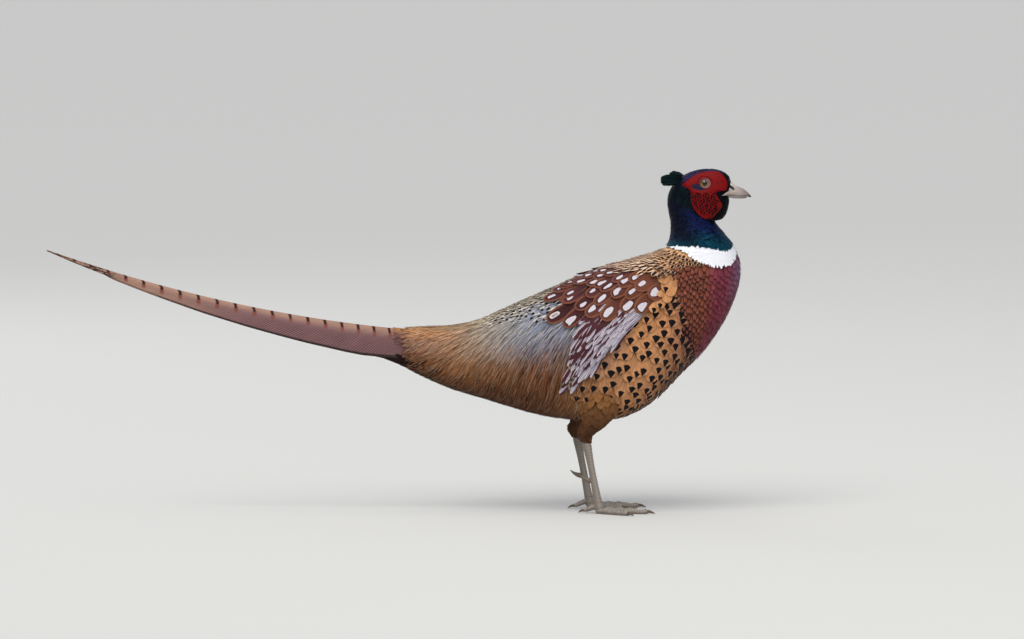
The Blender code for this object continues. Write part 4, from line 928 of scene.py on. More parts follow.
hair_finish, tree, shader = new_finish("rump hairs", 0.65)
x, y, _ = split(tree, read(tree, "vane", "Vector"))
seed, _, _ = split(tree, read(tree, "mark", "Vector"))
patch = noise(tree, stretch(tree, calc(tree, "MULTIPLY", y, 4.0), calc(tree, "MULTIPLY", seed, 50.0), x), 1.0)
tree.links.new(shaded(tree, read(tree, "tone"), calc(tree, "ADD", 0.75, calc(tree, "MULTIPLY", patch, 0.5))), shader.inputs["Base Color"])
raise_bumps(tree, shader, patch, 0.1 * MM)
for name, side in (("right", -1), ("left", 1)):
    hairs = []
    for shade in range(3):
        roots = jittered(rows_of_roots((0.45, 6.7), (0.0, 0.86), 6.2 * MM, 2.9 * MM), rng, (0.16, 0.012))
        roots = roots[(roots[:, 1] > np.interp(roots[:, 0] - 0.6, *FLECK_EDGE) - 0.02) | (roots[:, 0] < 3.2)]
        long = np.interp(roots[:, 0], *RUMP_LONG) * rng.uniform(0.75, 1.1, len(roots)) * MM
        g = grow_vanes(roots[:, 0], roots[:, 1], long, (0.48, 0.42, 0.40)[shade] * MM, rng, side=side, low=-2.0 * MM, high=0.7 * MM,
                       stray=0.10, shape=strand_width, rows=5, columns=3, camber=0.1, uneven=0.45 * MM, thick=0.2 * MM)
        base = near(*g["middle"], PLUMAGE, (0.9, 0.075))
        bright = 0.25 + base.mean(-1, keepdims=True) / 0.35
        pale = base * 0.5 + 0.5 * np.array((0.58, 0.45, 0.33)) * bright
        choice = rng.uniform(0, 1, (len(roots), 1))
        tones = (np.where(choice < 0.6, pale, base * 1.1), base * 1.2, np.where(choice < 0.5, base * 0.35, base * 0.8))
        g["tone"] = varied(tones[shade], rng, 0.15)
        hairs.append(g)
    feather_piece("rump_hairs_" + name, hairs, hair_finish)


# Wings, folded against the flank. From below: barred brown flight feathers, lavender coverts that turn maroon
# towards the rear, and on top maroon scapulars, each with a white drop in a black line.

WING_LIE = (
    (10, 0.3, -0.8, -0.6), (8, 0.12, -1, -0.42), (6.5, 0.12, -1, -0.5), (5.8, 0.3, -0.9, -0.5),
    (6.8, 0.33, -0.75, -0.65), (9, 0.36, -0.75, -0.65), (9, 0.42, -0.65, -0.75), (8, 0.47, -0.62, -0.78),
    (6.8, 0.5, -0.5, -0.86), (6.3, 0.62, -0.6, -0.8),
)


def follow_wing(place, turn):
    flow = near(place, turn, WING_LIE, (1.0, 0.09))
    return np.stack([flow[..., 0], np.zeros_like(flow[..., 0]), flow[..., 1]], -1)


def walk(place, turn, distance, chart=BODY, lie=follow_lie, strides=5):
    """Where a walk along the lie ends; a distance under nothing walks from a feather's tip back to its root."""
    place, turn = np.array(place, float), np.array(turn, float)
    for _ in range(strides):
        _, along, around, normal = on_chart(chart, place, turn)
        ahead = lie(place, turn)
        ahead = unit(ahead - normal * dot(ahead, normal)) * (distance / strides)
        ee, ef, ff = dot(along, along)[:, 0], dot(along, around)[:, 0], dot(around, around)[:, 0]
        a, b = dot(along, ahead)[:, 0], dot(around, ahead)[:, 0]
        area = ee * ff - ef * ef
        place, turn = place + (a * ff - b * ef) / area, turn + (b * ee - a * ef) / area
    return place, turn


def along_line(line, share):
    """Points of a bent line of places and turns, at shares of its length."""
    line = np.array(line)
    mm = np.cumsum(np.r_[0, np.linalg.norm(np.diff(line * (29, 190), axis=0), axis=1)])
    return np.stack([np.interp(share * mm[-1], mm, line[:, k]) for k in (0, 1)], -1)


WING_FRONT = (
    (9.6, 0.365), (9.35, 0.385), (8.8, 0.425), (8.3, 0.475), (7.85, 0.52), (7.4, 0.558), (7.0, 0.60),
    (6.55, 0.645), (6.05, 0.70),
)
WING_REAR = (
    (8.6, 0.33), (7.8, 0.345), (7.1, 0.37), (6.55, 0.40), (6.42, 0.45), (6.36, 0.50), (6.25, 0.55), (6.08, 0.61),
    (5.9, 0.69),
)
SCAPULAR_EDGE = (
    (9.98, 0.342), (9.6, 0.378), (8.95, 0.402), (8.4, 0.398), (7.85, 0.385), (7.3, 0.385), (6.8, 0.382), (6.4, 0.385),
    (6.1, 0.345), (5.5, 0.315),
)

quills, tree, shader = new_finish("flight feathers", 0.5)
height, shade = place_barbs(tree, 90.0, 0.5, 0.7, 0.3)
x, y, rim = split(tree, read(tree, "vane", "Vector"))
wave = calc(tree, "SINE", calc(tree, "MULTIPLY", calc(tree, "SUBTRACT", y, calc(tree, "MULTIPLY", calc(tree, "ABSOLUTE", x), 0.08)), 60.0))
colour = blend_colours(tree, fade(tree, wave, 0.3, 0.6), (0.10, 0.065, 0.05), (0.36, 0.27, 0.18))
tree.links.new(shaded(tree, colour, shade), shader.inputs["Base Color"])
raise_bumps(tree, shader, height, 0.2 * MM)

lavender, tree, shader = new_finish("wing coverts", 0.55)
height, shade = place_barbs(tree, 60.0, 0.5, 0.6, 0.5)
x, y, rim = split(tree, read(tree, "vane", "Vector"))
seed, maroon, _ = split(tree, read(tree, "mark", "Vector"))
off = calc(tree, "ABSOLUTE", x)
wander = noise(tree, stretch(tree, calc(tree, "MULTIPLY", x, 3.0), calc(tree, "MULTIPLY", y, 6.0), calc(tree, "MULTIPLY", seed, 50.0)), 1.0)
colour = shaded(tree, read(tree, "tone"), shade)
colour = blend_colours(tree, calc(tree, "MULTIPLY", fade(tree, off, 0.20, 0.08), 0.85), colour, (0.70, 0.65, 0.68))
colour = blend_colours(tree, calc(tree, "MULTIPLY", fade(tree, rim, 0.34, 0.16), 0.6), colour, (0.62, 0.57, 0.62))
limit = calc(tree, "SUBTRACT", 1.0, calc(tree, "MULTIPLY", maroon, 2.0))
edge = calc(tree, "ADD", x, calc(tree, "MULTIPLY", calc(tree, "SUBTRACT", wander, 0.5), 0.7))
edge = fade(tree, calc(tree, "SUBTRACT", edge, limit), -0.04, 0.06)
colour = blend_colours(tree, edge, colour, (0.075, 0.020, 0.026))
thin = calc(tree, "MULTIPLY", fade(tree, rim, 0.16, 0.05), fade(tree, wander, 0.42, 0.55))
colour = blend_colours(tree, calc(tree, "MULTIPLY", thin, 0.8), colour, (0.10, 0.035, 0.04))
tree.links.new(colour, shader.inputs["Base Color"])
raise_bumps(tree, shader, height, 0.2 * MM)

drops, tree, shader = new_finish("scapulars", 0.5)
height, shade = place_barbs(tree, 60.0, 0.5, 0.6, 0.35)
x, y, rim = split(tree, read(tree, "vane", "Vector"))
seed, drop, core = split(tree, read(tree, "mark", "Vector"))
wander = noise(tree, stretch(tree, calc(tree, "MULTIPLY", x, 1.8), calc(tree, "MULTIPLY", y, 5.0), calc(tree, "MULTIPLY", seed, 50.0)), 1.0)
wander = calc(tree, "MULTIPLY", calc(tree, "SUBTRACT", wander, 0.5), 1.0)
a = calc(tree, "DIVIDE", calc(tree, "ADD", x, calc(tree, "MULTIPLY", calc(tree, "SUBTRACT", seed, 0.5), 0.35)), calc(tree, "MULTIPLY", drop, 0.46))
b = calc(tree, "DIVIDE", calc(tree, "SUBTRACT", y, 0.69), calc(tree, "MULTIPLY", drop, 0.25))
lean = calc(tree, "SUBTRACT", 0.5, calc(tree, "FRACT", calc(tree, "MULTIPLY", seed, 7.0)))
a = calc(tree, "DIVIDE", a, calc(tree, "ADD", 1.0, calc(tree, "MULTIPLY", calc(tree, "MULTIPLY", lean, b), 1.1)))
far = calc(tree, "ADD", calc(tree, "POWER", calc(tree, "ABSOLUTE", a), 2.6), calc(tree, "POWER", calc(tree, "ABSOLUTE", b), 2.6))
far = calc(tree, "POWER", far, 0.385)
far = calc(tree, "ADD", far, wander)
colour = read(tree, "tone")
colour = blend_colours(tree, calc(tree, "MULTIPLY", fade(tree, rim, 0.34, 0.16), 0.85), colour, (0.22, 0.078, 0.042))
colour = shaded(tree, colour, shade)
colour = blend_colours(tree, fade(tree, far, 1.32, 1.18), colour, (0.020, 0.009, 0.010))
colour = blend_colours(tree, fade(tree, far, 1.10, 1.00), colour, (0.66, 0.60, 0.64))
fleck = noise(tree, stretch(tree, calc(tree, "MULTIPLY", x, 9.0), calc(tree, "MULTIPLY", y, 4.0), seed), 1.0)
inner = blend_colours(tree, fade(tree, fleck, 0.42, 0.6), (0.10, 0.05, 0.035), (0.42, 0.30, 0.20))
colour = blend_colours(tree, calc(tree, "MULTIPLY", fade(tree, far, 0.66, 0.55), core), colour, inner)
tree.links.new(colour, shader.inputs["Base Color"])
raise_bumps(tree, shader, height, 0.2 * MM)

rng = np.random.default_rng(61)
for name, side in (("right", -1), ("left", 1)):
    tips = along_line(((6.1, 0.685), (6.25, 0.63), (6.42, 0.57), (6.55, 0.50)), np.linspace(0, 1, 9))
    roots = walk(tips[:, 0], tips[:, 1], -62 * MM, lie=follow_wing)
    g = grow_vanes(*roots, 62 * MM, 6.5 * MM, rng, side=side, lie=follow_wing, low=-1.5 * MM, high=1.2 * MM, rows=13,
                   columns=7, base=wing_rise, camber=0.06, stray=0.02)
    g["tone"] = np.tile((0.1, 0.06, 0.05), (len(tips), 1))
    flight = feather_piece("flight_feathers_" + name, [g], quills)

    tips, share = [], []
    for k, p in enumerate(np.linspace(0.0, 1.0, 20)):
        front, rear = along_line(WING_FRONT, p), along_line(WING_REAR, p)
        wide = np.linalg.norm((front - rear) * (29, 190))
        count = max(2, int(round(wide / 3.7)))
        q = (np.arange(count) + 0.5 * (k % 2)) / max(count - 0.5, 1)
        tips.append(front + (rear - front) * q[:, None])
        share.append(q)
    tips, share = jittered(np.concatenate(tips), rng, (0.03, 0.004)), np.concatenate(share)
    below = tips[:, 1] > np.interp(tips[:, 0], *np.array(SCAPULAR_EDGE[::-1]).T) - 0.025 * (tips[:, 0] < 7.5)
    tips, share = tips[below], share[below]
    long = np.interp(tips[:, 0], (8.2, 9.5), (36, 15)) * MM
    roots = walk(tips[:, 0], tips[:, 1], -long[:, None], lie=follow_wing)
    g = grow_vanes(*roots, long, 2.8 * MM, rng, side=side, lie=follow_wing, low=-0.8 * MM,
                   high=(2.4 - 1.4 * ease(tips[:, 0], 8.7, 9.3)) * MM, rows=9, base=wing_rise, camber=0.12, stray=0.06)
    grey, plum = np.array((0.33, 0.29, 0.36)), np.array((0.28, 0.22, 0.27))
    g["tone"] = varied(grey + (plum - grey) * share[:, None], rng, 0.1)
    low_end = ease(tips[:, 1], 0.42, 0.60)
    mixed = 0.05 + 0.82 * ease(share, 0.14, 0.66) * (1 - 0.25 * low_end) + 0.16 * rng.standard_normal(len(share))
    mixed = np.where((rng.uniform(0, 1, len(share)) < 0.22) & (share > 0.15), 0.62 - 0.55 * mixed, mixed)
    g["a"] = np.clip(mixed, 0.0, 0.85)
    coverts = feather_piece("wing_coverts_" + name, [g], lavender)

    tips, tier = [], []
    for k in range(7):
        count = (8, 8, 8, 9, 9, 9, 9)[k]
        line = along_line(SCAPULAR_EDGE, (np.arange(count) + 0.5 * (k % 2)) / (count - 0.5))
        line[:, 1] -= (0.0, 0.070, 0.118, 0.162, 0.204, 0.244, 0.284)[k]
        line[:, 0] -= 0.06 * k
        rear = np.interp(line[:, 1], (0.0, 0.135, 0.155, 0.205, 0.255, 0.30), (6.15, 5.9, 5.75, 5.65, 5.55, 5.4))
        free = np.interp(line[:, 0], (6.35, 6.36, 8.6, 9.2), (0.0, 0.035, 0.035, 0.055))
        keep = (line[:, 1] > np.interp(line[:, 0], *MANTLE_EDGE) * (line[:, 0] > 6.35) + free) & (line[:, 0] < 9.95)
        keep &= (line[:, 1] > 0.055) & ((line[:, 0] > rear) | (k == 0))
        tips.append(line[keep])
        tier.append(np.full(keep.sum(), k))
    tips, tier = jittered(np.concatenate(tips), rng, (0.10, 0.009)), np.concatenate(tier)
    long = (34 - 1.8 * tier) * np.interp(tips[:, 0], (8.6, 9.8), (1.0, 0.62)) * MM
    roots = walk(tips[:, 0], tips[:, 1], -long[:, None], lie=follow_wing)
    g = grow_vanes(*roots, long, np.array((9.0, 8.2, 7.6, 7.0, 6.6, 6.2, 6.0))[tier] * MM, rng, side=side, lie=follow_wing,
                   low=0.4 * MM, high=(3.4 - 1.3 * ease(tips[:, 0], 9.2, 9.9)) * MM, rows=13, columns=9, base=wing_rise,
                   camber=0.10, stray=0.09)
    dark, brown = np.array((0.078, 0.020, 0.022)), np.array((0.15, 0.046, 0.026))
    mix = ease(tips[:, 0] + 9 * (tips[:, 1] - 0.3) + rng.uniform(-0.6, 0.6, len(tips)), 6.3, 9.3)
    g["tone"] = varied(dark + (brown - dark) * mix[:, None], rng, 0.12)
    g["a"] = np.where(tier == 0, rng.uniform(0.62, 0.88, len(tips)), rng.uniform(0.42, 0.72, len(tips)) - 0.02 * tier)
    g["b"] = 0.8 * ease(6.3 - tips[:, 0], 0, 0.4) * (tier < 1)
    scapulars = feather_piece("scapulars_" + name, [g], drops, ("wing_" + name,))

    # Golden feathers of the shoulder, which lie over the front of the wing
    roots = jittered(rows_of_roots((9.5, 12.2), (0.18, 0.50), 8.6 * MM, 7.2 * MM), rng, (0.05, 0.006))
    g = grow_vanes(roots[:, 0], roots[:, 1], 19 * MM, 6.2 * MM, rng, side=side, low=-0.5 * MM, high=3.0 * MM, rows=9, columns=7,
                   base=wing_rise, stray=0.08)
    tip_s, tip_t = g["tip"]
    keep = (tip_s > np.interp(tip_t, (0.30, 0.34, 0.38, 0.43, 0.47), (10.42, 10.30, 10.0, 9.45, 9.05))) & (tip_t < 0.47)
    g = pick(g, keep & (tip_s < np.interp(tip_t, *BREAST_EDGE) - 0.18) & (tip_t > np.interp(tip_s, *MANTLE_EDGE) + 0.01))
    g["tone"] = varied(np.tile((0.60, 0.27, 0.11), (len(g["seed"]), 1)), rng, 0.12)
    g["a"] = rng.uniform(0.9, 1.2, len(g["seed"])) * (rng.uniform(0, 1, len(g["seed"])) < 0.45)
    feather_piece("shoulder_feathers_" + name, [g], golden)


# Tail. Nine pairs of stiff feathers nested like roofs, each pair shorter and lower than the one above. The middle
# pair is the longest: pale along the ridge with black bars, and hung on both sides with loose mauve barbs.

HALF_LENGTH = 388.3 * MM
TAIL_TIP_HEIGHT = 287.0 * MM
TAIL_ROOT = 36.0 * MM
TAIL_STEP = 1.9 * MM
RIDGE_START = (11.0 * MM, 199.0 * MM)
RIDGE_SLOPE = 0.089
TAIL_TIPS = MM * np.array((0.0, 73.7, 143.3, 198.3, 243.3, 280.3, 308.3, 330.3, 349.8)) - HALF_LENGTH
TAIL_FROM_TIP = MM * np.array((0.0, 30.0, 66.0, 120.0, 175.0, 230.0, 285.0, 330.0, 390.0, 425.0))
TAIL_DROP = MM * np.array((1.0, 2.9, 4.8, 9.1, 13.2, 16.3, 18.5, 18.7, 17.0, 15.0))
TAIL_HALF = MM * np.array((1.0, 2.7, 4.5, 7.5, 10.5, 12.5, 14.0, 14.5, 12.0, 9.5))


def tail_surface(place, turn):
    """The tail's roof. A place counts centimetres back from its root, and a turn goes from edge to edge. The
    ridge is a parabola up to the tip, and both slopes steepen outwards."""
    x = TAIL_ROOT - 10 * MM * place
    far = x + HALF_LENGTH
    back = RIDGE_START[0] - x
    length = RIDGE_START[0] + HALF_LENGTH
    bend = (TAIL_TIP_HEIGHT - RIDGE_START[1] - RIDGE_SLOPE * length) / length**2
    ridge = RIDGE_START[1] + RIDGE_SLOPE * back + bend * back**2
    out = np.sqrt(turn**2 + 0.012) - 0.11
    drop = np.interp(far, TAIL_FROM_TIP, TAIL_DROP) * (0.35 * out + 0.65 * out**2)
    return np.stack([x, np.interp(far, TAIL_FROM_TIP, TAIL_HALF) * turn, ridge - drop], -1)


def veil_surface(place, turn):
    """The middle pair's surface: the roof, bent down beyond six tenths of its width to cover the pairs below."""
    point = tail_surface(place, turn)
    below = np.interp(point[..., 0], TAIL_TIPS, np.arange(9)) * TAIL_STEP
    point[..., 2] -= (below + 0.6 * MM) * np.clip((np.abs(turn) - 0.70) / 0.30, 0, 2) ** 1.5
    return point


TAIL = make_chart(tail_surface, (0.0, 42.43), (-1.3, 1.3), (6, 24))
VEIL = make_chart(veil_surface, (0.0, 42.43), (-1.2, 1.2), (6, 40))

barred, tree, shader = new_finish("tail vanes", 0.55)
height, shade = place_barbs(tree, 170.0, 0.113, 0.9, 0.25)
x, y, rim = split(tree, read(tree, "vane", "Vector"))
seed, lowest, _ = split(tree, read(tree, "mark", "Vector"))
place = make_node(tree, "ShaderNodeTexCoord").outputs["Object"]
px, _, _ = split(tree, place)
off = calc(tree, "ABSOLUTE", x)
wander = noise(tree, stretch(tree, calc(tree, "MULTIPLY", px, 160.0), calc(tree, "MULTIPLY", x, 3.0), calc(tree, "MULTIPLY", seed, 50.0)), 1.0, 3.0)
# The bars' count from the root is a cubic of the place along the tail, as they stand further apart towards the tip
run = calc(tree, "SUBTRACT", calc(tree, "MULTIPLY", px, 10.0), calc(tree, "MULTIPLY", calc(tree, "MINIMUM", off, 0.28), 0.08))
bars = 0.0
for factor in (-0.0942, -0.5954, -6.1045, -0.6294):
    bars = calc(tree, "ADD", calc(tree, "MULTIPLY", bars, run), factor)
bars = calc(tree, "ADD", bars, calc(tree, "MULTIPLY", calc(tree, "SUBTRACT", wander, 0.5), 0.10))
near_bar = calc(tree, "ABSOLUTE", calc(tree, "SUBTRACT", calc(tree, "FRACT", calc(tree, "ADD", bars, 0.5)), 0.5))
tan, mauve = (0.35, 0.205, 0.140), (0.200, 0.103, 0.104)
slender = fade(tree, px, -0.30, -0.14)
share = calc(tree, "MULTIPLY", fade(tree, off, 0.05, 0.46), calc(tree, "ADD", calc(tree, "MULTIPLY", slender, 0.75), 0.25))
colour = shaded(tree, blend_colours(tree, share, tan, mauve), shade)
# Painted shade: dark slanting lines in the lower part, the shade in the gaps between its loose barbs
line = calc(tree, "ADD", calc(tree, "MULTIPLY", px, 1000.0), calc(tree, "MULTIPLY", off, 38.0))
gap = calc(tree, "SINE", calc(tree, "ADD", calc(tree, "MULTIPLY", line, 2 * math.pi / 3.1), calc(tree, "MULTIPLY", wander, 3.5)))
gap = calc(tree, "MULTIPLY", fade(tree, gap, -0.2, 0.7), calc(tree, "MULTIPLY", fade(tree, off, 0.22, 0.6), calc(tree, "ADD", calc(tree, "MULTIPLY", slender, 0.75), 0.12)))
colour = blend_colours(tree, calc(tree, "MULTIPLY", gap, 0.80), colour, (0.058, 0.022, 0.026))
reach = calc(tree, "ADD", 0.24, calc(tree, "MULTIPLY", fade(tree, px, -0.10, -0.30), 0.22))
rusty = calc(tree, "MULTIPLY", fade(tree, near_bar, 0.14, 0.07), fade(tree, off, calc(tree, "MULTIPLY", reach, 2.1), calc(tree, "MULTIPLY", reach, 1.3)))
colour = blend_colours(tree, rusty, colour, (0.17, 0.048, 0.030))
black = calc(tree, "MULTIPLY", fade(tree, near_bar, 0.072, 0.045), fade(tree, off, calc(tree, "MULTIPLY", reach, 1.15), reach))
colour = blend_colours(tree, black, colour, (0.006, 0.006, 0.010))
# Painted shade: the vanes darker along their edges, and the two lowest pairs dark, as shaded under the pairs above
edge = calc(tree, "MAXIMUM", calc(tree, "MULTIPLY", fade(tree, off, 0.945, 0.975), 0.85), lowest)
colour = blend_colours(tree, edge, colour, (0.020, 0.012, 0.010))
end = fade(tree, px, -0.300, -0.325)
mottle = calc(tree, "MULTIPLY", fade(tree, wander, 0.46, 0.54), end)
colour = blend_colours(tree, mottle, colour, (0.030, 0.018, 0.015))
tree.links.new(colour, shader.inputs["Base Color"])
raise_bumps(tree, shader, height, 0.2 * MM)


def tail_vane(pair, side):
    """One feather of the tail as a sheet of the roof: the middle pair as wide as the roof, the rest in its halves,
    each a step lower than the pair before."""
    tip = TAIL_TIPS[pair] + (13 * MM if pair == 0 and side > 0 else 0)
    rows = 81 if pair == 0 else 41
    u = np.linspace(0, 1, rows)
    x = TAIL_ROOT + (tip - TAIL_ROOT) * u
    shape = np.clip((x - tip) / (60 * MM), 0.0, 1.0) ** 0.6
    v = np.linspace(-1, 1, 25 if pair == 0 else 9)
    if pair == 0:
        turn = (0.12 + 0.88 * shape if side > 0 else np.ones(rows))[:, None] * v
        level = 0.75 if side > 0 else 0.0
    else:
        turn = 0.42 * side + 0.38 * (0.15 + 0.85 * shape)[:, None] * v
        level = 0.75 + pair
    place = np.broadcast_to(((TAIL_ROOT - x) / (10 * MM))[:, None], turn.shape)
    top, _, _, normal = on_chart(VEIL if pair == 0 else TAIL, place, turn)
    top = top - np.array((0, 0, level * TAIL_STEP))
    rim = np.broadcast_to(1 - np.abs(v), turn.shape)
    length = np.cumsum(np.linalg.norm(np.diff(top, axis=1, prepend=top[:, :1]), axis=-1), axis=1)
    across = 2 * length / length[:, -1:] - 1
    # The mark's second value, 0.8 for the two lowest pairs, darkens them in the tail vanes: painted shade
    return {
        "top": top[None], "under": (top - normal * 0.6 * MM)[None], "side": 1, "seed": np.array([0.1 * pair + 0.05 * side]),
        "vane": np.stack([across, np.broadcast_to(u[:, None], turn.shape), rim], -1)[None], "tone": np.array([(0.4, 0.25, 0.17)]),
        "place": np.array([-1.0 + 0.1 * pair]), "turn": np.array([-0.1 * side]), "a": np.array([0.8 * (pair > 6)]),
    }


tail = feather_piece("tail_vanes", [tail_vane(pair, side) for pair in range(9) for side in (-1, 1)], barred, ("tail",))

# Loose barbs along both sides of the middle pair, slanting back and down over the edge
fringe, tree, shader = new_finish("tail fringe", 0.6)
x, y, _ = split(tree, read(tree, "vane", "Vector"))
colour = blend_colours(tree, calc(tree, "MULTIPLY", fade(tree, y, 0.0, 0.9), 0.7), read(tree, "tone"), (0.035, 0.02, 0.02))
tree.links.new(colour, shader.inputs["Base Color"])

rng = np.random.default_rng(71)
barbs = []
for side in (-1, 1):
    for start, reach in ((0.985, 4.0),):
        place = np.arange(-0.4, 30.0, 0.14)
        place = place + rng.uniform(-0.07, 0.07, len(place))
        thin = np.interp(place, (0, 20, 30), (1.0, 0.7, 0.3))

        def slant(p, t, side=side):
            return np.stack([np.full_like(p, -0.82), np.full_like(p, side * 0.10), np.full_like(p, -0.52)], -1)

        g = grow_vanes(place, np.full(len(place), side * start), reach * thin * MM, 0.50 * MM, rng, chart=VEIL, lie=slant,
                       low=-0.1 * MM, high=0.5 * MM, rows=5, columns=3, stray=0.05, camber=0.2, uneven=0.12 * MM,
                       shape=strand_width, thick=0.2 * MM)
        light, dark = np.array((0.20, 0.105, 0.10)) * (1.0 if start < 0.9 else 0.2), np.array((0.06, 0.032, 0.032)) * (1.0 if start < 0.9 else 0.3)
        g["tone"] = light + (dark - light) * rng.uniform(0, 1, (len(place), 1))
        barbs.append(g)
feather_piece("tail_fringe", barbs, fringe)

# The rump's last hairs, which lie loose over the tail's root
rng = np.random.default_rng(73)
last = []
for side in (-1, 1):
    count = 420
    place, turn = rng.uniform(1.9, 2.8, count), side * rng.uniform(0.0, 0.86, count)
    g = grow_vanes(place, turn, rng.uniform(6, 17, count) * MM, 0.55 * MM, rng, chart=VEIL, lie=lambda p, t: np.stack([-1 + 0 * p, 0 * p, 0.08 + 0 * p], -1),
                   low=0.2 * MM, high=0.8 * MM, rows=6, columns=3, stray=0.10, camber=0.2, shape=strand_width, thick=0.2 * MM)
    rusty, plum = np.array((0.42, 0.20, 0.09)), np.array((0.17, 0.080, 0.070))
    g["tone"] = varied(rusty + (plum - rusty) * ease(np.abs(turn), 0.25, 0.75)[:, None], rng, 0.25)
    last.append(g)
feather_piece("tail_root_hairs", last, hair_finish)

# Coverts under the tail's root, painted near black: their dark colour deepened by painted shade under the tail
def under_lie(place, turn):
    return np.stack([np.full_like(place, -1.0), np.zeros_like(place), np.full_like(place, 0.33)], -1)


rng = np.random.default_rng(72)
under = []
for side in (-1, 1):
    roots = rows_of_roots((-0.7, 2.2), (0.68, 1.0), 5 * MM, 4 * MM)
    long = np.interp(roots[:, 0], (-0.6, 0.4, 2.4), (30, 36, 30)) * MM
    g = grow_vanes(roots[:, 0], roots[:, 1], long, 3.2 * MM, rng, side=side, lie=under_lie, low=-2.5 * MM, high=0.2 * MM, rows=7,
                   shape=strand_width)
    # Painted shade: the coverts' dark brown taken to near black under the tail
    g["tone"] = varied(np.tile((0.022, 0.011, 0.008), (len(roots), 1)), rng)
    under.append(g)
feather_piece("undertail_feathers", under, soft)


# Collar, neck and head. Small glossy feathers in close rows: the collar white, the neck teal to violet blue, the
# crown dark violet, nape, forehead and throat black.

EYE_X, EYE_Z = 338.9 * MM, 359.5 * MM
EYE_RADIUS, EYE_SHOWN_RADIUS = 6.4 * MM, 4.9 * MM
WATTLE_LINE = MM * np.array(
    (
        (24.2, -1.4), (22.5, -7.5), (15.6, -8.4), (12.0, -10.8), (15.0, -16.3), (18.7, -23.8), (14.0, -31.0),
        (7.0, -37.8), (-2.0, -37.2), (-9.4, -30.4), (-14.3, -20.9), (-15.3, -12.2), (-16.5, -6.8), (-24.5, -1.4),
        (-21.5, 1.7), (-13.8, 7.2), (-6.1, 11.3), (3.0, 12.9), (14.0, 12.5), (22.0, 5.6),
    )
)


def wattle_edge(count):
    """The wattle's outline round the eye: a closed Catmull-Rom curve through its corners."""
    rows = np.concatenate([WATTLE_LINE[-2:], WATTLE_LINE, WATTLE_LINE[:3]])
    return curve_through(rows, 2 + np.linspace(0, len(WATTLE_LINE), count, endpoint=False))


def inside_wattle(x, z, grown=1.0):
    """Whether a point lies within the outline, grown about the eye: its distance against the outline's that way."""
    edge = wattle_edge(240)
    bearing = np.arctan2(edge[:, 1], edge[:, 0])
    order = np.argsort(bearing)
    reach = np.interp(np.arctan2(z - EYE_Z, x - EYE_X), bearing[order], np.linalg.norm(edge, axis=1)[order], period=2 * math.pi)
    return np.hypot(x - EYE_X, z - EYE_Z) < reach * grown


glossy, tree, shader = new_finish("neck gloss", 0.4, metallic=0.2, gloss=0.05)
height, shade = place_barbs(tree, 22.0, 0.4, 0.6, 0.5)
x, y, rim = split(tree, read(tree, "vane", "Vector"))
colour = shaded(tree, read(tree, "tone"), shade)
# Painted highlight: each feather's tip lighter, towards 1.9 times its tone, as a glint of the gloss
colour = blend_colours(tree, calc(tree, "MULTIPLY", fade(tree, y, 0.75, 0.97), 0.5), colour, shaded(tree, read(tree, "tone"), 1.9))
tree.links.new(colour, shader.inputs["Base Color"])
raise_bumps(tree, shader, height, 0.12 * MM)

white, tree, shader = new_finish("white collar", 0.7)
height, shade = place_barbs(tree, 22.0, 0.4, 0.94, 0.06)
tree.links.new(shaded(tree, (0.93, 0.93, 0.97), shade), shader.inputs["Base Color"])
raise_bumps(tree, shader, height, 0.12 * MM)


rng = np.random.default_rng(81)
collar, neck = [], []
for side in (-1, 1):
    roots = jittered(rows_of_roots((12.1, 19.2), (0.0, 1.0), 3.2 * MM, 2.7 * MM), rng, (0.06, 0.008))
    g = grow_vanes(roots[:, 0], roots[:, 1], 8.5 * MM, 1.9 * MM, rng, side=side, low=-2.0 * MM, high=0.3 * MM, stray=0.08,
                   rows=6, thick=0.2 * MM, uneven=0.15 * MM)
    tip_place, tip_turn = g["tip"]
    low = np.interp(tip_turn, COLLAR_TURN, COLLAR_LOW)
    high = np.interp(tip_turn, COLLAR_TURN, COLLAR_HIGH)
    g["tone"] = varied(plumage_colour(np.maximum(tip_place, high + 0.01), tip_turn), rng, 0.25)
    neck.append(pick(g, tip_place > high))
    # A close fringe of the neck over the collar's upper edge
    roots = jittered(rows_of_roots((12.0, 16.6), (0.0, 1.0), 1.9 * MM, 1.8 * MM), rng, (0.04, 0.005))
    g = grow_vanes(roots[:, 0], roots[:, 1], 7.0 * MM, 1.4 * MM, rng, side=side, low=-1.2 * MM, high=0.42 * MM, stray=0.06,
                   rows=5, thick=0.15 * MM, uneven=0.04 * MM, camber=0.03)
    tip_place, tip_turn = g["tip"]
    high = np.interp(tip_turn, COLLAR_TURN, COLLAR_HIGH)
    g["tone"] = varied(plumage_colour(np.maximum(tip_place, high + 0.01), tip_turn), rng, 0.25)
    neck.append(pick(g, (tip_place > high - 0.04) & (tip_place < high + 0.35)))
    roots = jittered(rows_of_roots((11.9, 16.8), (0.0, 1.0), 2.0 * MM, 1.9 * MM), rng, (0.04, 0.005))
    g = grow_vanes(roots[:, 0], roots[:, 1], 8.5 * MM, 1.45 * MM, rng, side=side, low=-1.6 * MM, high=0.25 * MM, stray=0.05,
                   rows=5, thick=0.15 * MM, uneven=0.04 * MM, camber=0.0)
    tip_place, tip_turn = g["tip"]
    low = np.interp(tip_turn, COLLAR_TURN, COLLAR_LOW)
    high = np.interp(tip_turn, COLLAR_TURN, COLLAR_HIGH)
    g["tone"] = np.ones((len(roots), 3))
    collar.append(pick(g, (tip_place <= high) & (tip_place > low)))
feather_piece("collar_feathers", collar, white)
feather_piece("neck_feathers", neck, glossy)

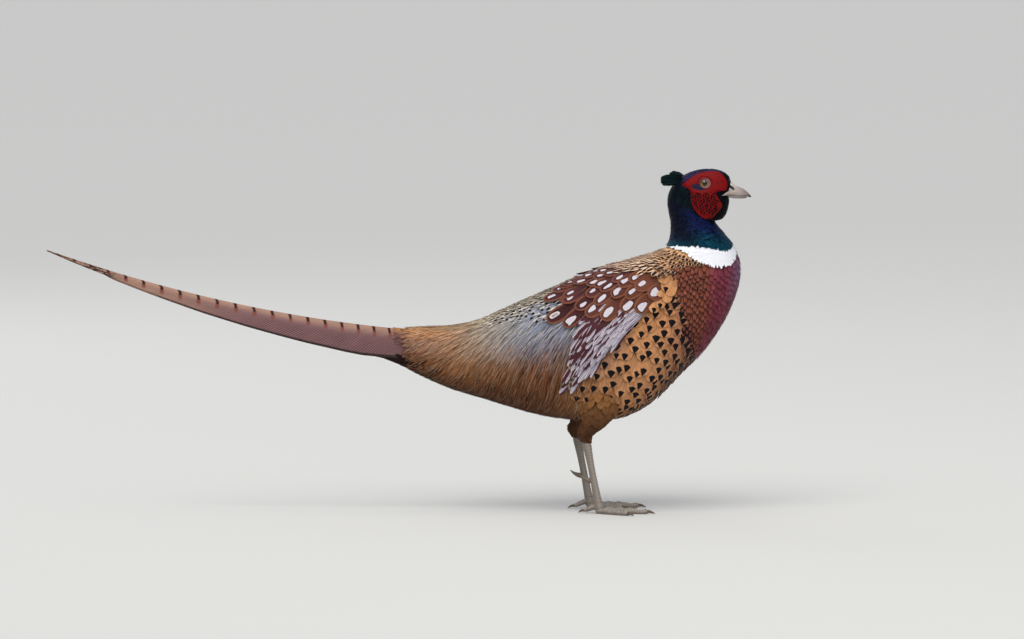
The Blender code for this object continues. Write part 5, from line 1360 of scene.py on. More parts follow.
head = []
for side in (-1, 1):
    roots = jittered(rows_of_roots((18.6, 26.0), (0.0, 1.0), 2.5 * MM, 2.2 * MM), rng, (0.05, 0.008))
    g = grow_vanes(roots[:, 0], roots[:, 1], 6.0 * MM, 1.35 * MM, rng, side=side, low=-1.0 * MM, high=0.35 * MM, stray=0.08,
                   rows=6, columns=5, thick=0.15 * MM, uneven=0.10 * MM, camber=0.05)
    middle = g["top"][:, 3, 2]
    tip = g["top"][:, -1, 2]
    keep = ~inside_wattle(middle[:, 0], middle[:, 2], 0.97) & ~inside_wattle(tip[:, 0], tip[:, 2], 0.9)
    g = pick(g, keep)
    place, turn = g["middle"]
    violet, black, green = np.array((0.024, 0.017, 0.056)), np.array((0.0022, 0.0028, 0.0045)), np.array((0.0012, 0.0055, 0.0075))
    crown = (ease(0.5 - turn, 0, 0.25) * ease(place, 19.5, 21.0) * ease(24.6 - place, 0, 1.0))[:, None]
    nape = (ease(0.6 - turn, 0, 0.2) * ease(21.0 - place, 0, 1.5))[:, None]
    g["tone"] = varied(black + (violet - black) * crown + (green - black) * nape, rng, 0.25)
    head.append(g)
feather_piece("head_feathers", head, glossy)

# Ear tufts: a bundle of long narrow feathers on each side of the nape, the left one lifted
rng = np.random.default_rng(82)
for name, side in (("right", -1), ("left", 1)):
    raised = side > 0
    count = 60 if raised else 90
    spread = rng.uniform(-1, 1, (count, 2))
    tall = 0.36 if raised else 1.0
    root = np.stack(
        [309 + 5 * rng.uniform(-1, 1, count), side * (8.5 + 1.5 * spread[:, 0]), 362.6 + 3.6 * raised + 4.0 * tall * spread[:, 1]], -1
    )
    end = (298.0 if raised else 289.8) + (3.0 if raised else 3.2) * np.abs(spread[:, 1]) ** 2.5 + 4.5 * rng.uniform(0, 1, count) ** 2
    tip = np.stack([end, side * (11.8 + 1.8 * spread[:, 0]), 362.8 + 6.6 * raised + 5.6 * tall * spread[:, 1] + 0.5 * rng.standard_normal(count)], -1)
    u = np.linspace(0, 1, 9)[None, :, None]
    line = root[:, None] * (1 - u) + tip[:, None] * u + np.array((0, 0, 0.8)) * np.sin(math.pi * u) * (1 - 0.5 * u)
    line = line * MM
    ahead = unit(np.gradient(line, axis=1))
    out = unit(np.cross(ahead, np.array((0.0, 0.35 * side, 1.0))))
    upward = unit(np.cross(out, ahead)) * side * -1
    v = np.linspace(-1, 1, 5)[None, None, :, None]
    width = 1.5 * MM * vane_width(np.linspace(0, 1, 9))[None, :, None, None]
    face = upward * 0.9 + out * 0.1
    top = line[:, :, None] + unit(np.cross(ahead, out))[:, :, None] * width * v * side
    normal = unit(out)[:, :, None] * np.ones_like(v)
    under = top - normal * 0.25 * MM
    grid = np.stack([np.broadcast_to(a, (count, 9, 5)) for a in (v[..., 0], u, 1 - np.abs(v[..., 0]))], -1)
    tone = np.array((0.003, 0.011, 0.012)) * rng.uniform(0.6, 1.6, (count, 1))
    group = {"top": top, "under": under, "side": side, "seed": rng.uniform(0, 1, count), "vane": grid, "tone": tone,
             "place": np.full(count, 20.0), "turn": np.full(count, 0.3 * side)}
    feather_piece("ear_tuft_feathers_" + name, [group], glossy, ("ear_tuft_" + name,))


# Wattles. Bare red skin round each eye: a sheet of close pimples, thickest in the lobe under the ear, with a slate
# patch behind the eye, a rolled lid, and rows of tiny black feathers in the lobe.


def place_of(x, z, start=(22.5, 0.5)):
    """Place and turn of points seen square from the side: the nearest knot of a coarse table, then Newton steps."""
    a, b = np.meshgrid(np.linspace(15, 26, 67), np.linspace(0.02, 0.98, 49), indexing="ij")
    table, _, _, _ = on_chart(BODY, a, b)
    shape = np.shape(x)
    x, z = np.ravel(x), np.ravel(z)
    far = (table[..., 0].ravel()[None] - x[:, None]) ** 2 + (table[..., 2].ravel()[None] - z[:, None]) ** 2
    best = far.argmin(1)
    place, turn = a.ravel()[best], b.ravel()[best]
    for _ in range(6):
        point, along, around, _ = on_chart(BODY, place, turn)
        dx, dz = x - point[:, 0], z - point[:, 2]
        area = along[:, 0] * around[:, 2] - along[:, 2] * around[:, 0]
        area = np.where(np.abs(area) < 1e-6, 1e-6, area)
        place = np.clip(place + 0.9 * (dx * around[:, 2] - dz * around[:, 0]) / area, 14, 26)
        turn = np.clip(turn + 0.9 * (dz * along[:, 0] - dx * along[:, 2]) / area, 0.0, 1.0)
    return place.reshape(shape), turn.reshape(shape)


EYE_PLACE, EYE_TURN = place_of(np.array([EYE_X]), np.array([EYE_Z]))
EYE_SIDE = float(-on_chart(BODY, EYE_PLACE, EYE_TURN)[0][0, 1])
EYE_Y = EYE_SIDE + 0.5 * MM - math.sqrt(EYE_RADIUS**2 - EYE_SHOWN_RADIUS**2)


def dimple(x, z, centres, radius):
    """A field of round bumps: a half sphere's height over the nearest centre, none past the radius."""
    reach = np.full(x.shape, np.inf)
    for part in np.array_split(centres, 8):
        far = np.sqrt((x[..., None] - part[:, 0]) ** 2 + (z[..., None] - part[:, 1]) ** 2).min(-1)
        reach = np.minimum(reach, far)
    return np.sqrt(np.clip(1 - (reach / radius) ** 2, 0, 1))


def hexagons(low, high, pitch, rng, stray):
    """Centres in staggered rows, each moved a little."""
    a, b = np.meshgrid(np.arange(low[0], high[0], pitch), np.arange(low[1], high[1], pitch * 0.87), indexing="ij")
    a = a + 0.5 * pitch * (np.arange(a.shape[1]) % 2)[None]
    return np.stack([a.ravel(), b.ravel()], -1) + stray * pitch * rng.uniform(-1, 1, (a.size, 2))


bare, tree, shader = new_finish("wattle", 0.5, coat=0.03, gloss=0.06)
place = make_node(tree, "ShaderNodeTexCoord").outputs["Object"]
grain = noise(tree, place, 1400.0, 3.0)
colour = blend_colours(tree, calc(tree, "MULTIPLY", fade(tree, grain, 0.45, 0.7), 0.45), read(tree, "tone"), (0.05, 0.002, 0.003))
speck = noise(tree, place, 420.0, 2.0)
colour = blend_colours(tree, calc(tree, "MULTIPLY", fade(tree, speck, 0.54, 0.68), 0.5), colour, (0.07, 0.002, 0.003))
tree.links.new(colour, shader.inputs["Base Color"])
shader.inputs["Subsurface Weight"].default_value = 0.06
shader.inputs["Subsurface Radius"].default_value = (1.0, 0.25, 0.2)
shader.inputs["Subsurface Scale"].default_value = 0.001
raise_bumps(tree, shader, grain, 0.15 * MM)

tiny, tree, shader = new_finish("face dots", 0.6, gloss=0.02)
x, y, rim = split(tree, read(tree, "vane", "Vector"))
colour = blend_colours(tree, fade(tree, rim, 0.0, 0.5), (0.012, 0.010, 0.012), (0.003, 0.003, 0.004))
tree.links.new(colour, shader.inputs["Base Color"])

WATTLE_AROUND, WATTLE_RINGS = 300, 66
for name, side in (("right", -1), ("left", 1)):
    rng = np.random.default_rng(91 + side)
    edge = wattle_edge(WATTLE_AROUND)
    bearing = unit(edge)
    start = bearing * (EYE_SHOWN_RADIUS - 0.7 * MM)
    share = np.linspace(0, 1, WATTLE_RINGS)[:, None, None]
    flat = start + (edge - start) * share
    x, z = flat[..., 0], flat[..., 1]
    share = share[..., 0]
    pimples = hexagons((-27 * MM, -40 * MM), (26 * MM, 14 * MM), 1.25 * MM, rng, 0.22)
    bumps = dimple(x, z, pimples, 0.76 * MM)
    away = np.hypot(x, z)
    lobe = np.clip(-z / (30 * MM), 0, 1)
    pillow = np.sin(math.pi * np.clip(share, 0, 1) ** 0.8) ** 0.5
    fold = 0.5 * np.sin((z + 0.35 * x) / MM * 0.9) * np.exp(-(((x + 10 * MM) / (6 * MM)) ** 2) - ((z + 11 * MM) / (6 * MM)) ** 2)
    ridge = np.exp(-(((away - EYE_SHOWN_RADIUS - 2.3 * MM) / (0.8 * MM)) ** 2))
    slate = ease(1.0 - ((x + 6.5 * MM) / (8.6 * MM)) ** 2 - ((z + 4.6 * MM + 0.10 * x) / (3.6 * MM)) ** 2, 0.0, 0.25)
    slate = slate * ease(away, EYE_SHOWN_RADIUS, EYE_SHOWN_RADIUS + 0.8 * MM)
    lift = 0.3 + 1.0 * pillow + 1.2 * lobe * pillow + 0.34 * bumps * (1 - 0.7 * slate) * ease(away, 6 * MM, 8 * MM)
    lift = lift + fold - 0.5 * ridge - 0.25 * slate
    place, turn = place_of(EYE_X + x, np.minimum(EYE_Z + z, 374.0 * MM))
    point, _, _, normal = on_chart(BODY, place, turn)
    top = point + normal * (MM * lift * (1 - 0.8 * share**12))[..., None]
    under = point - normal * (0.9 * MM)
    red, deep, blue = np.array((0.25, 0.0035, 0.004)), np.array((0.028, 0.0008, 0.001)), np.array((0.010, 0.013, 0.036))
    # Painted shade: the skin darker between the pimples and in the crease round the eye
    tone = deep + (red - deep) * (0.12 + 0.88 * bumps**1.3)[..., None] * (1 - 0.25 * ridge)[..., None]
    tone = tone + (blue - tone) * slate[..., None]
    shell = np.concatenate([top, under[::-1]])
    shell[..., 1] *= -side
    tone = np.concatenate([tone, tone[::-1]])
    rows, around = shell.shape[:2]
    i, j = np.meshgrid(np.arange(rows), np.arange(around), indexing="ij")
    a, b = i * around + j, i * around + (j + 1) % around
    c, d = ((i + 1) % rows) * around + (j + 1) % around, ((i + 1) % rows) * around + j
    faces = np.stack([a, d, c, b] if side > 0 else [a, b, c, d], -1).reshape(-1, 4)
    wattle = set_mesh("wattle_skin_" + name, shell.reshape(-1, 3), faces)
    set_values(wattle, "tone", "FLOAT_COLOR", tone.reshape(-1, 3))
    both = np.concatenate([flat, flat[::-1] + (0.0, 0.1)]).reshape(-1, 2)
    set_bake_map(wattle, both * 4 + (0.2, 0.2))
    wattle.data.materials.append(bare)
    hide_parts("wattle_" + name)
    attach(wattle, "root")

    dots = hexagons((-22 * MM, -38 * MM), (24 * MM, -2 * MM), 3.35 * MM, rng, 0.10)
    dots = dots @ np.array(((0.94, -0.34), (0.34, 0.94)))
    keep = inside_wattle(EYE_X + dots[:, 0], EYE_Z + dots[:, 1], 0.88) & (dots[:, 1] < -9.3 * MM) & (dots[:, 1] > -31 * MM)
    keep &= dots[:, 0] < 15 * MM
    dots = dots[keep]
    place, turn = place_of(EYE_X + dots[:, 0], EYE_Z + dots[:, 1])
    g = grow_vanes(place, turn, 2.5 * MM, 1.0 * MM, rng, side=side, low=2.5 * MM, high=3.9 * MM, rows=5, stray=0.2, thick=0.15 * MM,
                   uneven=0.05 * MM, camber=0.3)
    g["tone"] = np.tile((0.01, 0.01, 0.01), (len(dots), 1))
    feather_piece("face_dots_" + name, [g], tiny)


# Eyes. A dark globe with a recessed iris, amber round a black pupil, under a clear dome, in a rolled slate lid.

iris, tree, shader = new_finish("iris", 0.4, coat=0.1)
x, y, _ = split(tree, read(tree, "vane", "Vector"))
fibre = noise(tree, stretch(tree, calc(tree, "MULTIPLY", x, 14.0), calc(tree, "MULTIPLY", y, 2.0), 0.0), 1.0, 3.0)
colour = blend_colours(tree, fibre, (0.50, 0.13, 0.015), (0.72, 0.33, 0.05))
colour = blend_colours(tree, fade(tree, y, 0.92, 1.02), colour, (0.05, 0.045, 0.06))
colour = blend_colours(tree, fade(tree, y, 0.66, 0.60), colour, (0.002, 0.002, 0.004))
tree.links.new(colour, shader.inputs["Base Color"])
raise_bumps(tree, shader, fibre, 0.1 * MM)

clear, tree, shader = new_finish("clear dome", 0.0)
shader.inputs["Transmission Weight"].default_value = 1.0
shader.inputs["IOR"].default_value = 1.34
shader.inputs["Base Color"].default_value = (1.0, 1.0, 1.0, 1.0)

lid_finish, tree, shader = new_finish("lid", 0.5, coat=0.15)
x, y, _ = split(tree, read(tree, "vane", "Vector"))
grain = noise(tree, make_node(tree, "ShaderNodeTexCoord").outputs["Object"], 1600.0, 3.0)
place = make_node(tree, "ShaderNodeTexCoord").outputs["Object"]
px, _, _ = split(tree, place)
colour = blend_colours(tree, grain, (0.025, 0.026, 0.045), (0.060, 0.062, 0.10))
colour = blend_colours(tree, fade(tree, px, EYE_X - 3 * MM, EYE_X + 5 * MM), colour, blend_colours(tree, grain, (0.10, 0.105, 0.15), (0.21, 0.21, 0.28)))
colour = blend_colours(tree, fade(tree, y, 0.55, 0.9), colour, (0.05, 0.04, 0.06))
tree.links.new(colour, shader.inputs["Base Color"])
raise_bumps(tree, shader, grain, 0.2 * MM)


def turned_profile(centre, profile, side, around=64):
    """A profile of radius and outward distance turned round the eye's axis, its first and last rings drawn shut."""
    angle = np.linspace(0, 2 * math.pi, around, endpoint=False)
    r, out = profile[:, 0][:, None], profile[:, 1][:, None]
    x, z = centre[0] + r * np.cos(angle), centre[2] + r * np.sin(angle)
    y = side * (centre[1] + out) + 0 * x
    points, faces = closed_grid(np.stack([x, y, z], -1))
    return points, faces[:, ::-1] if side > 0 else faces


IRIS_RADIUS = 4.6 * MM
for name, side in (("right", -1), ("left", 1)):
    centre = (EYE_X, EYE_Y, EYE_Z)
    angle = np.linspace(math.radians(2), math.pi - math.asin(IRIS_RADIUS / EYE_RADIUS), 26)
    ball = np.stack([EYE_RADIUS * np.sin(angle), -EYE_RADIUS * np.cos(angle)], -1)
    level = ball[-1, 1]
    r = np.linspace(1.0, 0.02, 26)
    dish = np.stack([IRIS_RADIUS * r, level - 0.9 * MM * (1 - r**2) - 0.35 * MM * ease(-r, -0.68, -0.60)], -1)
    profile = np.concatenate([ball, dish[1:]])
    points, faces = turned_profile(centre, profile, side)
    eye = set_mesh("eyeball_" + name, points, faces, 40)
    flat = points - (EYE_X, 0, EYE_Z)
    away = np.hypot(flat[:, 0], flat[:, 2]) / IRIS_RADIUS
    away = np.where(side * points[:, 1] < EYE_Y + level - 1.4 * MM, 2.0, away)
    values = np.stack([np.cos(np.arctan2(flat[:, 2], flat[:, 0]) * 9), away, 0 * away], -1)
    set_values(eye, "vane", "FLOAT_VECTOR", values)
    set_bake_map(eye, points[:, [0, 2]] * 4)
    eye.data.materials.append(iris)
    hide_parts("eye_" + name)
    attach(eye, "root")

    bend = np.linspace(0, math.asin(IRIS_RADIUS / EYE_RADIUS), 20)
    outer = np.stack([EYE_RADIUS * 1.002 * np.sin(bend), EYE_RADIUS * np.cos(bend) + 0.5 * MM * np.cos(bend / bend[-1] * 0.5 * math.pi)], -1)
    inner = outer * (0.985, 1.0) - (0, 0.28 * MM)
    outer[0, 0] = inner[0, 0] = 0.03 * MM
    points, faces = turned_profile(centre, np.concatenate([inner, outer[::-1]]), side)
    dome = set_mesh("eye_dome_" + name, points, faces)
    set_bake_map(dome, points[:, [0, 2]] * 4)
    dome.data.materials.append(clear)
    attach(dome, "root")

    u, v = np.meshgrid(np.linspace(0, 2 * math.pi, 96, endpoint=False), np.linspace(0, 2 * math.pi, 20, endpoint=False), indexing="ij")
    crease = 0.10 * np.sin(22 * u) * np.clip(np.cos(v), 0, 1)
    across = (0.80 + crease) * MM * np.cos(v)
    reach = EYE_SHOWN_RADIUS + 0.15 * MM + across
    point = np.stack(
        [
            EYE_X + reach * np.cos(u) * 1.08,
            side * (EYE_SIDE + 0.95 * MM + (0.85 + 0.5 * crease) * MM * np.sin(v) - 0.02 * MM * np.cos(u)),
            EYE_Z + reach * np.sin(u) * 0.94,
        ],
        -1,
    )
    i, j = np.meshgrid(np.arange(96), np.arange(20), indexing="ij")
    a, b = i * 20 + j, i * 20 + (j + 1) % 20
    c, d = ((i + 1) % 96) * 20 + (j + 1) % 20, ((i + 1) % 96) * 20 + j
    faces = np.stack([a, b, c, d] if side > 0 else [a, d, c, b], -1).reshape(-1, 4)
    lid = set_mesh("eyelid_" + name, point.reshape(-1, 3), faces)
    set_values(lid, "vane", "FLOAT_VECTOR", np.stack([u / 6.3, 0.5 - 0.5 * np.cos(v), 0 * u], -1).reshape(-1, 3))
    set_bake_map(lid, point.reshape(-1, 3)[:, [0, 2]] * 4)
    lid.data.materials.append(lid_finish)
    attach(lid, "root")


# Bill. Pale horn in two jaws that meet in a dark line. The upper hooks a little over the lower, and a soft lid
# swells over each nostril.

BILL_TIP_X, BILL_TIP_Z = 388.3 * MM, 344.3 * MM
UPPER_JAW = MM * np.array(
    (
        (-30.0, 12.0, 3.6, 5.6), (-25.5, 14.6, 2.8, 6.9), (-21.0, 15.4, 2.3, 6.8), (-17.2, 12.4, 2.0, 6.1),
        (-12.3, 10.7, 1.6, 5.0), (-7.3, 8.1, 1.0, 3.7), (-3.3, 4.5, 0.3, 2.2), (-1.1, 2.2, -0.5, 1.1), (0.0, 0.6, -0.3, 0.25),
    )
)
LOWER_JAW = MM * np.array(
    (
        (-31.0, 3.2, 0.6, 5.2), (-27.0, 2.6, -0.2, 6.2), (-23.0, 2.2, -1.0, 6.1), (-19.3, 1.7, -1.6, 5.3),
        (-14.3, 1.25, -2.0, 4.4), (-9.3, 0.65, -1.9, 3.1), (-6.0, 0.25, -1.5, 1.5), (-4.4, -0.2, -0.95, 0.35),
    )
)


def jaw_grid(stations, arch, rows=100, around=88):
    """Sections along a jaw: half an oval from one edge of the mouth over the crown to the other, shut by a
    shallow trough. A cubic through the stations gives mouth height, crown height and half width."""
    row = curve_through(stations, np.linspace(0, len(stations) - 1, rows))
    turn = np.linspace(0, math.pi, around // 2 + 1)
    crown, mouth, half = (row[:, k][:, None] for k in (1, 2, 3))
    y = half * np.cos(turn)
    z = mouth + (crown - mouth) * np.sin(turn) ** arch
    back = np.linspace(-1, 1, around // 2 + 1)[1:-1]
    hollow = np.sign(crown - mouth) * 0.25 * (1 - back**2) * half
    y = np.concatenate([y, half * back], -1)
    z = np.concatenate([z, mouth + hollow], -1)
    x = np.broadcast_to(row[:, :1], y.shape)
    return np.stack([BILL_TIP_X + x, y, BILL_TIP_Z + z], -1)


horn, tree, shader = new_finish("bill horn", 0.34, coat=0.15)
place = make_node(tree, "ShaderNodeTexCoord").outputs["Object"]
px, py, pz = split(tree, place)
line = noise(tree, stretch(tree, calc(tree, "MULTIPLY", px, 160.0), calc(tree, "MULTIPLY", py, 900.0), calc(tree, "MULTIPLY", pz, 900.0)), 1.0, 3.0)
grain = noise(tree, place, 700.0, 4.0)
colour = shaded(tree, read(tree, "tone"), calc(tree, "ADD", 0.72, calc(tree, "MULTIPLY", line, 0.55)))
colour = blend_colours(tree, calc(tree, "MULTIPLY", fade(tree, grain, 0.55, 0.75), 0.3), colour, (0.17, 0.13, 0.10))
tree.links.new(colour, shader.inputs["Base Color"])
raise_bumps(tree, shader, line, 0.12 * MM)

for name, stations, arch in (("upper", UPPER_JAW, 1.0), ("lower", LOWER_JAW, 0.8)):
    if name == "lower":
        stations = stations[:, [0, 2, 1, 3]]
    grid = jaw_grid(stations, arch)
    x, y, z = (grid[..., k] / MM for k in range(3))
    pale, warm, dark = np.array((0.34, 0.285, 0.265)), np.array((0.20, 0.15, 0.13)), np.array((0.02, 0.017, 0.016))
    tone = pale + (warm - pale) * ease(x, 372, 386)[..., None]
    if name == "upper":
        out = np.abs(y)
        slope = (z - 357.6) + 0.48 * (x - 368.5)
        lid = np.exp(-(((x - 368.3) / 4.4) ** 4) - (slope / 2.1) ** 4) * ease(out, 1.0, 2.6)
        slot = np.exp(-(((x - 366.0) / 4.4) ** 4) - ((slope + 3.4 + 0.14 * (x - 366)) / 1.45) ** 2) * ease(out, 1.5, 2.6)
        grid[..., 1] += np.sign(y) * MM * (1.3 * lid - 1.0 * slot)
        grid[..., 2] += MM * 0.3 * lid
        tone = tone + (np.array((0.50, 0.43, 0.39)) - tone) * lid[..., None]
        # Painted shade: the nostril's slot near black
        tone = tone + (dark * 0.3 - tone) * ease(slot, 0.15, 0.5)[..., None]
        # Painted shade along the mouth's edge where the jaws meet; the tip is also darker
        mouth_edge = ease(z, 346.6, 345.6) * ease(x, 365, 369)
        tip = ease(x, 383.5, 387.5)
        shade = np.clip(0.85 * mouth_edge * ease(x, 372, 380) + 0.5 * tip, 0, 1)
        tone = tone + (dark * 2.5 - tone) * shade[..., None]
    points, faces = closed_grid(grid)
    faces = faces[:, ::-1] if name == "lower" else faces
    jaw = set_mesh("bill_" + name + "_horn", points, faces, 45)
    jaw.data.polygons.foreach_set("use_smooth", np.ones(len(faces), bool))
    tone = tone.reshape(-1, 3)
    set_values(jaw, "tone", "FLOAT_COLOR", np.concatenate([tone, tone[:1], tone[-1:]]))
    set_bake_map(jaw, points[:, [0, 2]] * 4 + points[:, [1]] * 4)
    jaw.data.materials.append(horn)
    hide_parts("bill_" + name)
    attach(jaw, "root")


# The pale corner of the mouth on each side, which runs back over the black feathers of the cheek
CORNER = np.array(
    ((357.4, 346.4, 346.6), (359.4, 346.3, 347.9), (362.0, 346.4, 349.6), (364.5, 346.7, 350.8), (368.0, 346.9, 351.2), (373.0, 347.1, 350.6), (380.0, 347.2, 348.4))
)
for name, side in (("right", -1), ("left", 1)):
    row = curve_through(CORNER, np.linspace(0, len(CORNER) - 1, 34)) * MM
    middle = 0.5 * (row[:, 1] + row[:, 2])
    place, turn = place_of(np.minimum(row[:, 0], 364.5 * MM), middle)
    wall = -on_chart(BODY, place, turn)[0][:, 1]
    wall = np.interp(row[:, 0], MM * np.array((357.4, 362.0, 366.0, 370.5, 376.0, 380.0)), np.r_[wall[0] + 1.1 * MM, wall[int(len(wall) * 0.25)] + 0.9 * MM, MM * np.array((7.3, 6.0, 4.6, 3.5))])
    angle = np.linspace(0, 2 * math.pi, 24, endpoint=False)
    tall = 0.5 * (row[:, 2] - row[:, 1])[:, None]
    thick = (0.7 * MM * ease(row[:, 0], 356.8 * MM, 360 * MM) * ease(row[:, 0], 380 * MM, 362 * MM))[:, None] + 0.12 * MM
    point = np.stack([row[:, :1] + 0 * angle, side * (wall[:, None] + thick * np.cos(angle)), middle[:, None] + tall * np.sin(angle)], -1)
    points, faces = closed_grid(point)
    faces = faces if side > 0 else faces[:, ::-1]
    corner = set_mesh("bill_corner_" + name, points, faces, 45)
    tone = np.tile((0.36, 0.29, 0.26), (len(points), 1)) * (0.75 + 0.35 * ease(points[:, 2], 346.5 * MM, 350 * MM))[:, None]
    set_values(corner, "tone", "FLOAT_COLOR", tone)
    set_bake_map(corner, points[:, [0, 2]] * 4 + points[:, [1]] * 4)
    corner.data.materials.append(horn)
    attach(corner, "root")


# Legs and feet. Bare grey horn: two rows of broad plates down the front of the shank, plates over each toe,
# rough pads beneath, a short spur, and dark blunt claws.

scales, tree, shader = new_finish("leg scales", 0.5, coat=0.1)
place = make_node(tree, "ShaderNodeTexCoord").outputs["Object"]
grain = noise(tree, place, 900.0, 4.0)
colour = shaded(tree, read(tree, "tone"), calc(tree, "ADD", 0.7, calc(tree, "MULTIPLY", grain, 0.6)))
tree.links.new(colour, shader.inputs["Base Color"])
raise_bumps(tree, shader, grain, 0.25 * MM)


def limb(path, radius, rows, around, front, plate=3.4 * MM, floor=False, flat=1.0):
    """A tube along a cubic through stations of point and radius. Its angle 0 faces the front. Plates are a saw wave
    of the length, and in the front third a second row stands half a plate lower; the back has small grains."""
    stations = np.concatenate([path, np.asarray(radius)[:, None]], -1)
    row = curve_through(stations, np.linspace(0, len(path) - 1, rows))
    middle, r = row[:, :3], row[:, 3]
    ahead = unit(np.gradient(middle, axis=0))
    face = unit(front - ahead * dot(ahead, front))
    across = np.cross(ahead, face)
    angle = np.linspace(0, 2 * math.pi, around, endpoint=False)
    run = np.r_[0, np.cumsum(np.linalg.norm(np.diff(middle, axis=0), axis=1))][:, None]
    wrap = np.where(angle > math.pi, angle - 2 * math.pi, angle)[None]
    ahead_zone = ease(np.abs(wrap), 1.75, 1.45)
    phase = run / plate + 0.5 * (wrap > 0)
    saw = phase - np.floor(phase)
    seam = np.exp(-((wrap / 0.09) ** 2))
    scute = 0.30 * (1 - saw**3) * (1 - 0.0 * seam) - 0.22 * seam
    grain_saw = np.abs(np.sin(run / plate * 2 * math.pi * 1.2)) * np.abs(np.sin(wrap * 5 + math.pi * (np.floor(run / plate * 2.4) % 2) * 0.5))
    lift = MM * (ahead_zone * scute + (1 - ahead_zone) * 0.22 * grain_saw)
    lift = lift * np.clip(r / (3.5 * MM), 0.3, 1)[:, None]
    wide = (r[:, None] + lift)[..., None]
    point = middle[:, None] + wide * (np.cos(angle)[None, :, None] * face[:, None] * flat + np.sin(angle)[None, :, None] * across[:, None])
    if floor:
        point[..., 2] = np.maximum(point[..., 2], 0.0)
    groove = ahead_zone * (ease(saw, 0.78, 1.0) + seam) + (1 - ahead_zone) * (1 - grain_saw) * 0.7
    return point, np.clip(groove, 0, 1)


def shut_tube(point, groove, tones, around):
    """Closed points, faces and colours of a tube: its plates' colour, darker in the grooves."""
    points, faces = closed_grid(point)
    tone = tones[0] + (tones[1] - tones[0]) * groove[..., None]
    tone = tone.reshape(-1, 3)
    return points, faces, np.concatenate([tone, tone[:1], tone[-1:]])


def faced_out(points, faces):
    """Turns faces round where a closed tube's volume comes out under nothing."""
    a, b, c, d = (points[faces[:, k]] for k in range(4))
    volume = (np.cross(a - c, b - d) * (a + b + c + d)).sum()
    return faces if volume > 0 else faces[:, ::-1]


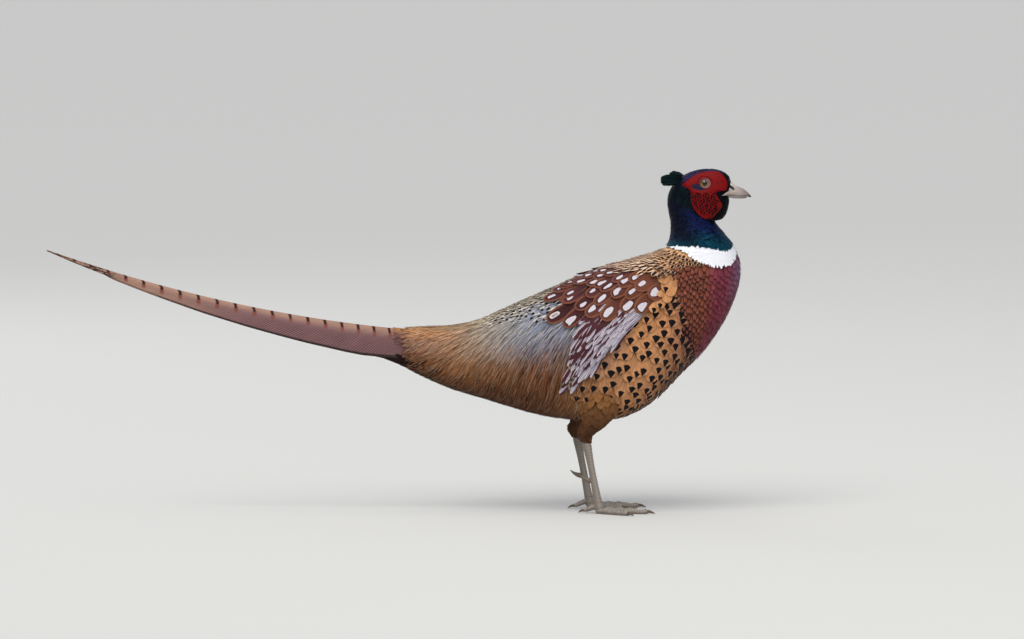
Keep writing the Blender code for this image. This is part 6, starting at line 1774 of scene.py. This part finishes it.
GREY, GROOVE = np.array((0.27, 0.235, 0.20)), np.array((0.10, 0.08, 0.065))
CLAW, CLAW_DARK = np.array((0.11, 0.085, 0.065)), np.array((0.05, 0.04, 0.03))
for name, side in (("right", -1), ("left", 1)):
    foot_x, foot_y = foot_place(side)
    heel, ankle = heel_and_ankle(side)
    lean = unit(heel - ankle)
    forward = np.array((1.0, 0.0, 0.0))
    up = np.array((0.0, 0.0, 1.0))
    centre = np.array((foot_x, foot_y, 0.0))
    tubes = {"shank": [], "foot": []}

    share = np.linspace(0, 1, 9)[:, None]
    path = np.concatenate([heel + lean * 7 * MM + (heel - heel), heel + (ankle - heel) * share[1:]])if False else heel + lean * 6 * MM + (ankle - lean * 1 * MM - heel - lean * 6 * MM) * share
    radius = MM * np.array((3.2, 4.7, 4.3, 3.8, 3.6, 3.6, 3.7, 4.0, 4.3))
    tubes["shank"].append((*limb(path, radius, 150, 40, forward), (GREY, GROOVE), True))
    root = ankle + lean * 21 * MM
    bend = MM * np.array(((1.0, 0, 0), (-6.0, 1.5, 0.8), (-11.0, 2.5, 3.0), (-15.5, 3.0, 6.5)))
    bend[:, 1] *= -side
    tubes["shank"].append((*limb(root + bend, MM * np.array((3.0, 2.6, 1.6, 0.25)), 40, 24, up, 30 * MM), (CLAW * 1.6, CLAW), True))

    foot = [ankle + lean * 2 * MM, ankle - lean * 3 * MM, centre + MM * np.array((0.5, 0, 6.5)), centre + MM * np.array((1.0, 0, 2.0))]
    tubes["foot"].append((*limb(np.array(foot), MM * np.array((4.3, 4.5, 5.2, 3.6)), 40, 40, forward, floor=True), (GREY, GROOVE), True))
    for turn, length, joints in ((0.0, 52.0, 4), (30.0, 38.0, 3), (-32.0, 41.0, 3)):
        turn = math.radians(turn) + side * math.radians(5)
        ahead = np.array((math.cos(turn), math.sin(turn), 0.0))
        count = 2 * joints + 1
        share = np.linspace(0, 1, count)
        knuckle = np.where(np.arange(count) % 2 == 0, 0.35, -0.25)
        radius = MM * (3.9 - 1.3 * share + knuckle)
        path = centre + ahead * (np.append(share * length, length + 2.2) * MM)[:, None]
        radius = np.append(radius, 1.7 * MM)
        path[:, 2] = 0.84 * np.maximum(radius, 2.5 * MM)
        tubes["foot"].append((*limb(path, radius, 24 * joints, 32, up, 3.0 * MM, True), (GREY, GROOVE), True))
        claw = path[-2] + ahead * MM * np.array((-1.5, 3.5, 7.5, 10.5))[:, None]
        claw[:, 2] = MM * np.array((2.4, 2.9, 2.0, 0.7))
        tubes["foot"].append((*limb(claw, MM * np.array((2.0, 1.6, 1.0, 0.25)), 30, 24, up, 40 * MM, True), (CLAW, CLAW_DARK), True))
    behind = unit(np.array((-1.0, -side * 0.35, 0.0)))
    path = centre + behind * MM * np.array((0.0, 7.0, 13.0, 17.0))[:, None]
    path[:, 2] = MM * np.array((8.0, 6.5, 4.2, 3.2))
    tubes["foot"].append((*limb(path, MM * np.array((3.0, 2.7, 2.3, 1.7)), 36, 28, up, 3.0 * MM, True), (GREY, GROOVE), True))
    claw = path[-1] + behind * MM * np.array((-1.0, 2.5, 5.0, 7.0))[:, None]
    claw[:, 2] = MM * np.array((3.2, 3.0, 2.0, 0.7))
    tubes["foot"].append((*limb(claw, MM * np.array((1.6, 1.3, 0.9, 0.25)), 24, 20, up, 40 * MM, True), (CLAW, CLAW_DARK), True))

    for part, replaced in (("shank", "shank_" + name), ("foot", "foot_" + name)):
        points, faces, tones, start = [], [], [], 0
        for point, groove, pair, _ in tubes[part]:
            p, f, t = shut_tube(point, groove, pair, 0)
            points.append(p)
            faces.append(faced_out(p - p.mean(0), f) + start)
            tones.append(t)
            start += len(p)
        points = np.concatenate(points)
        piece = set_mesh("scaled_" + part + "_" + name, points, np.concatenate(faces), 60)
        set_values(piece, "tone", "FLOAT_COLOR", np.concatenate(tones))
        set_bake_map(piece, points[:, [0, 2]] * 3 + points[:, [1]] * 2)
        piece.data.materials.append(scales)
        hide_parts(replaced)
        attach(piece, "root")
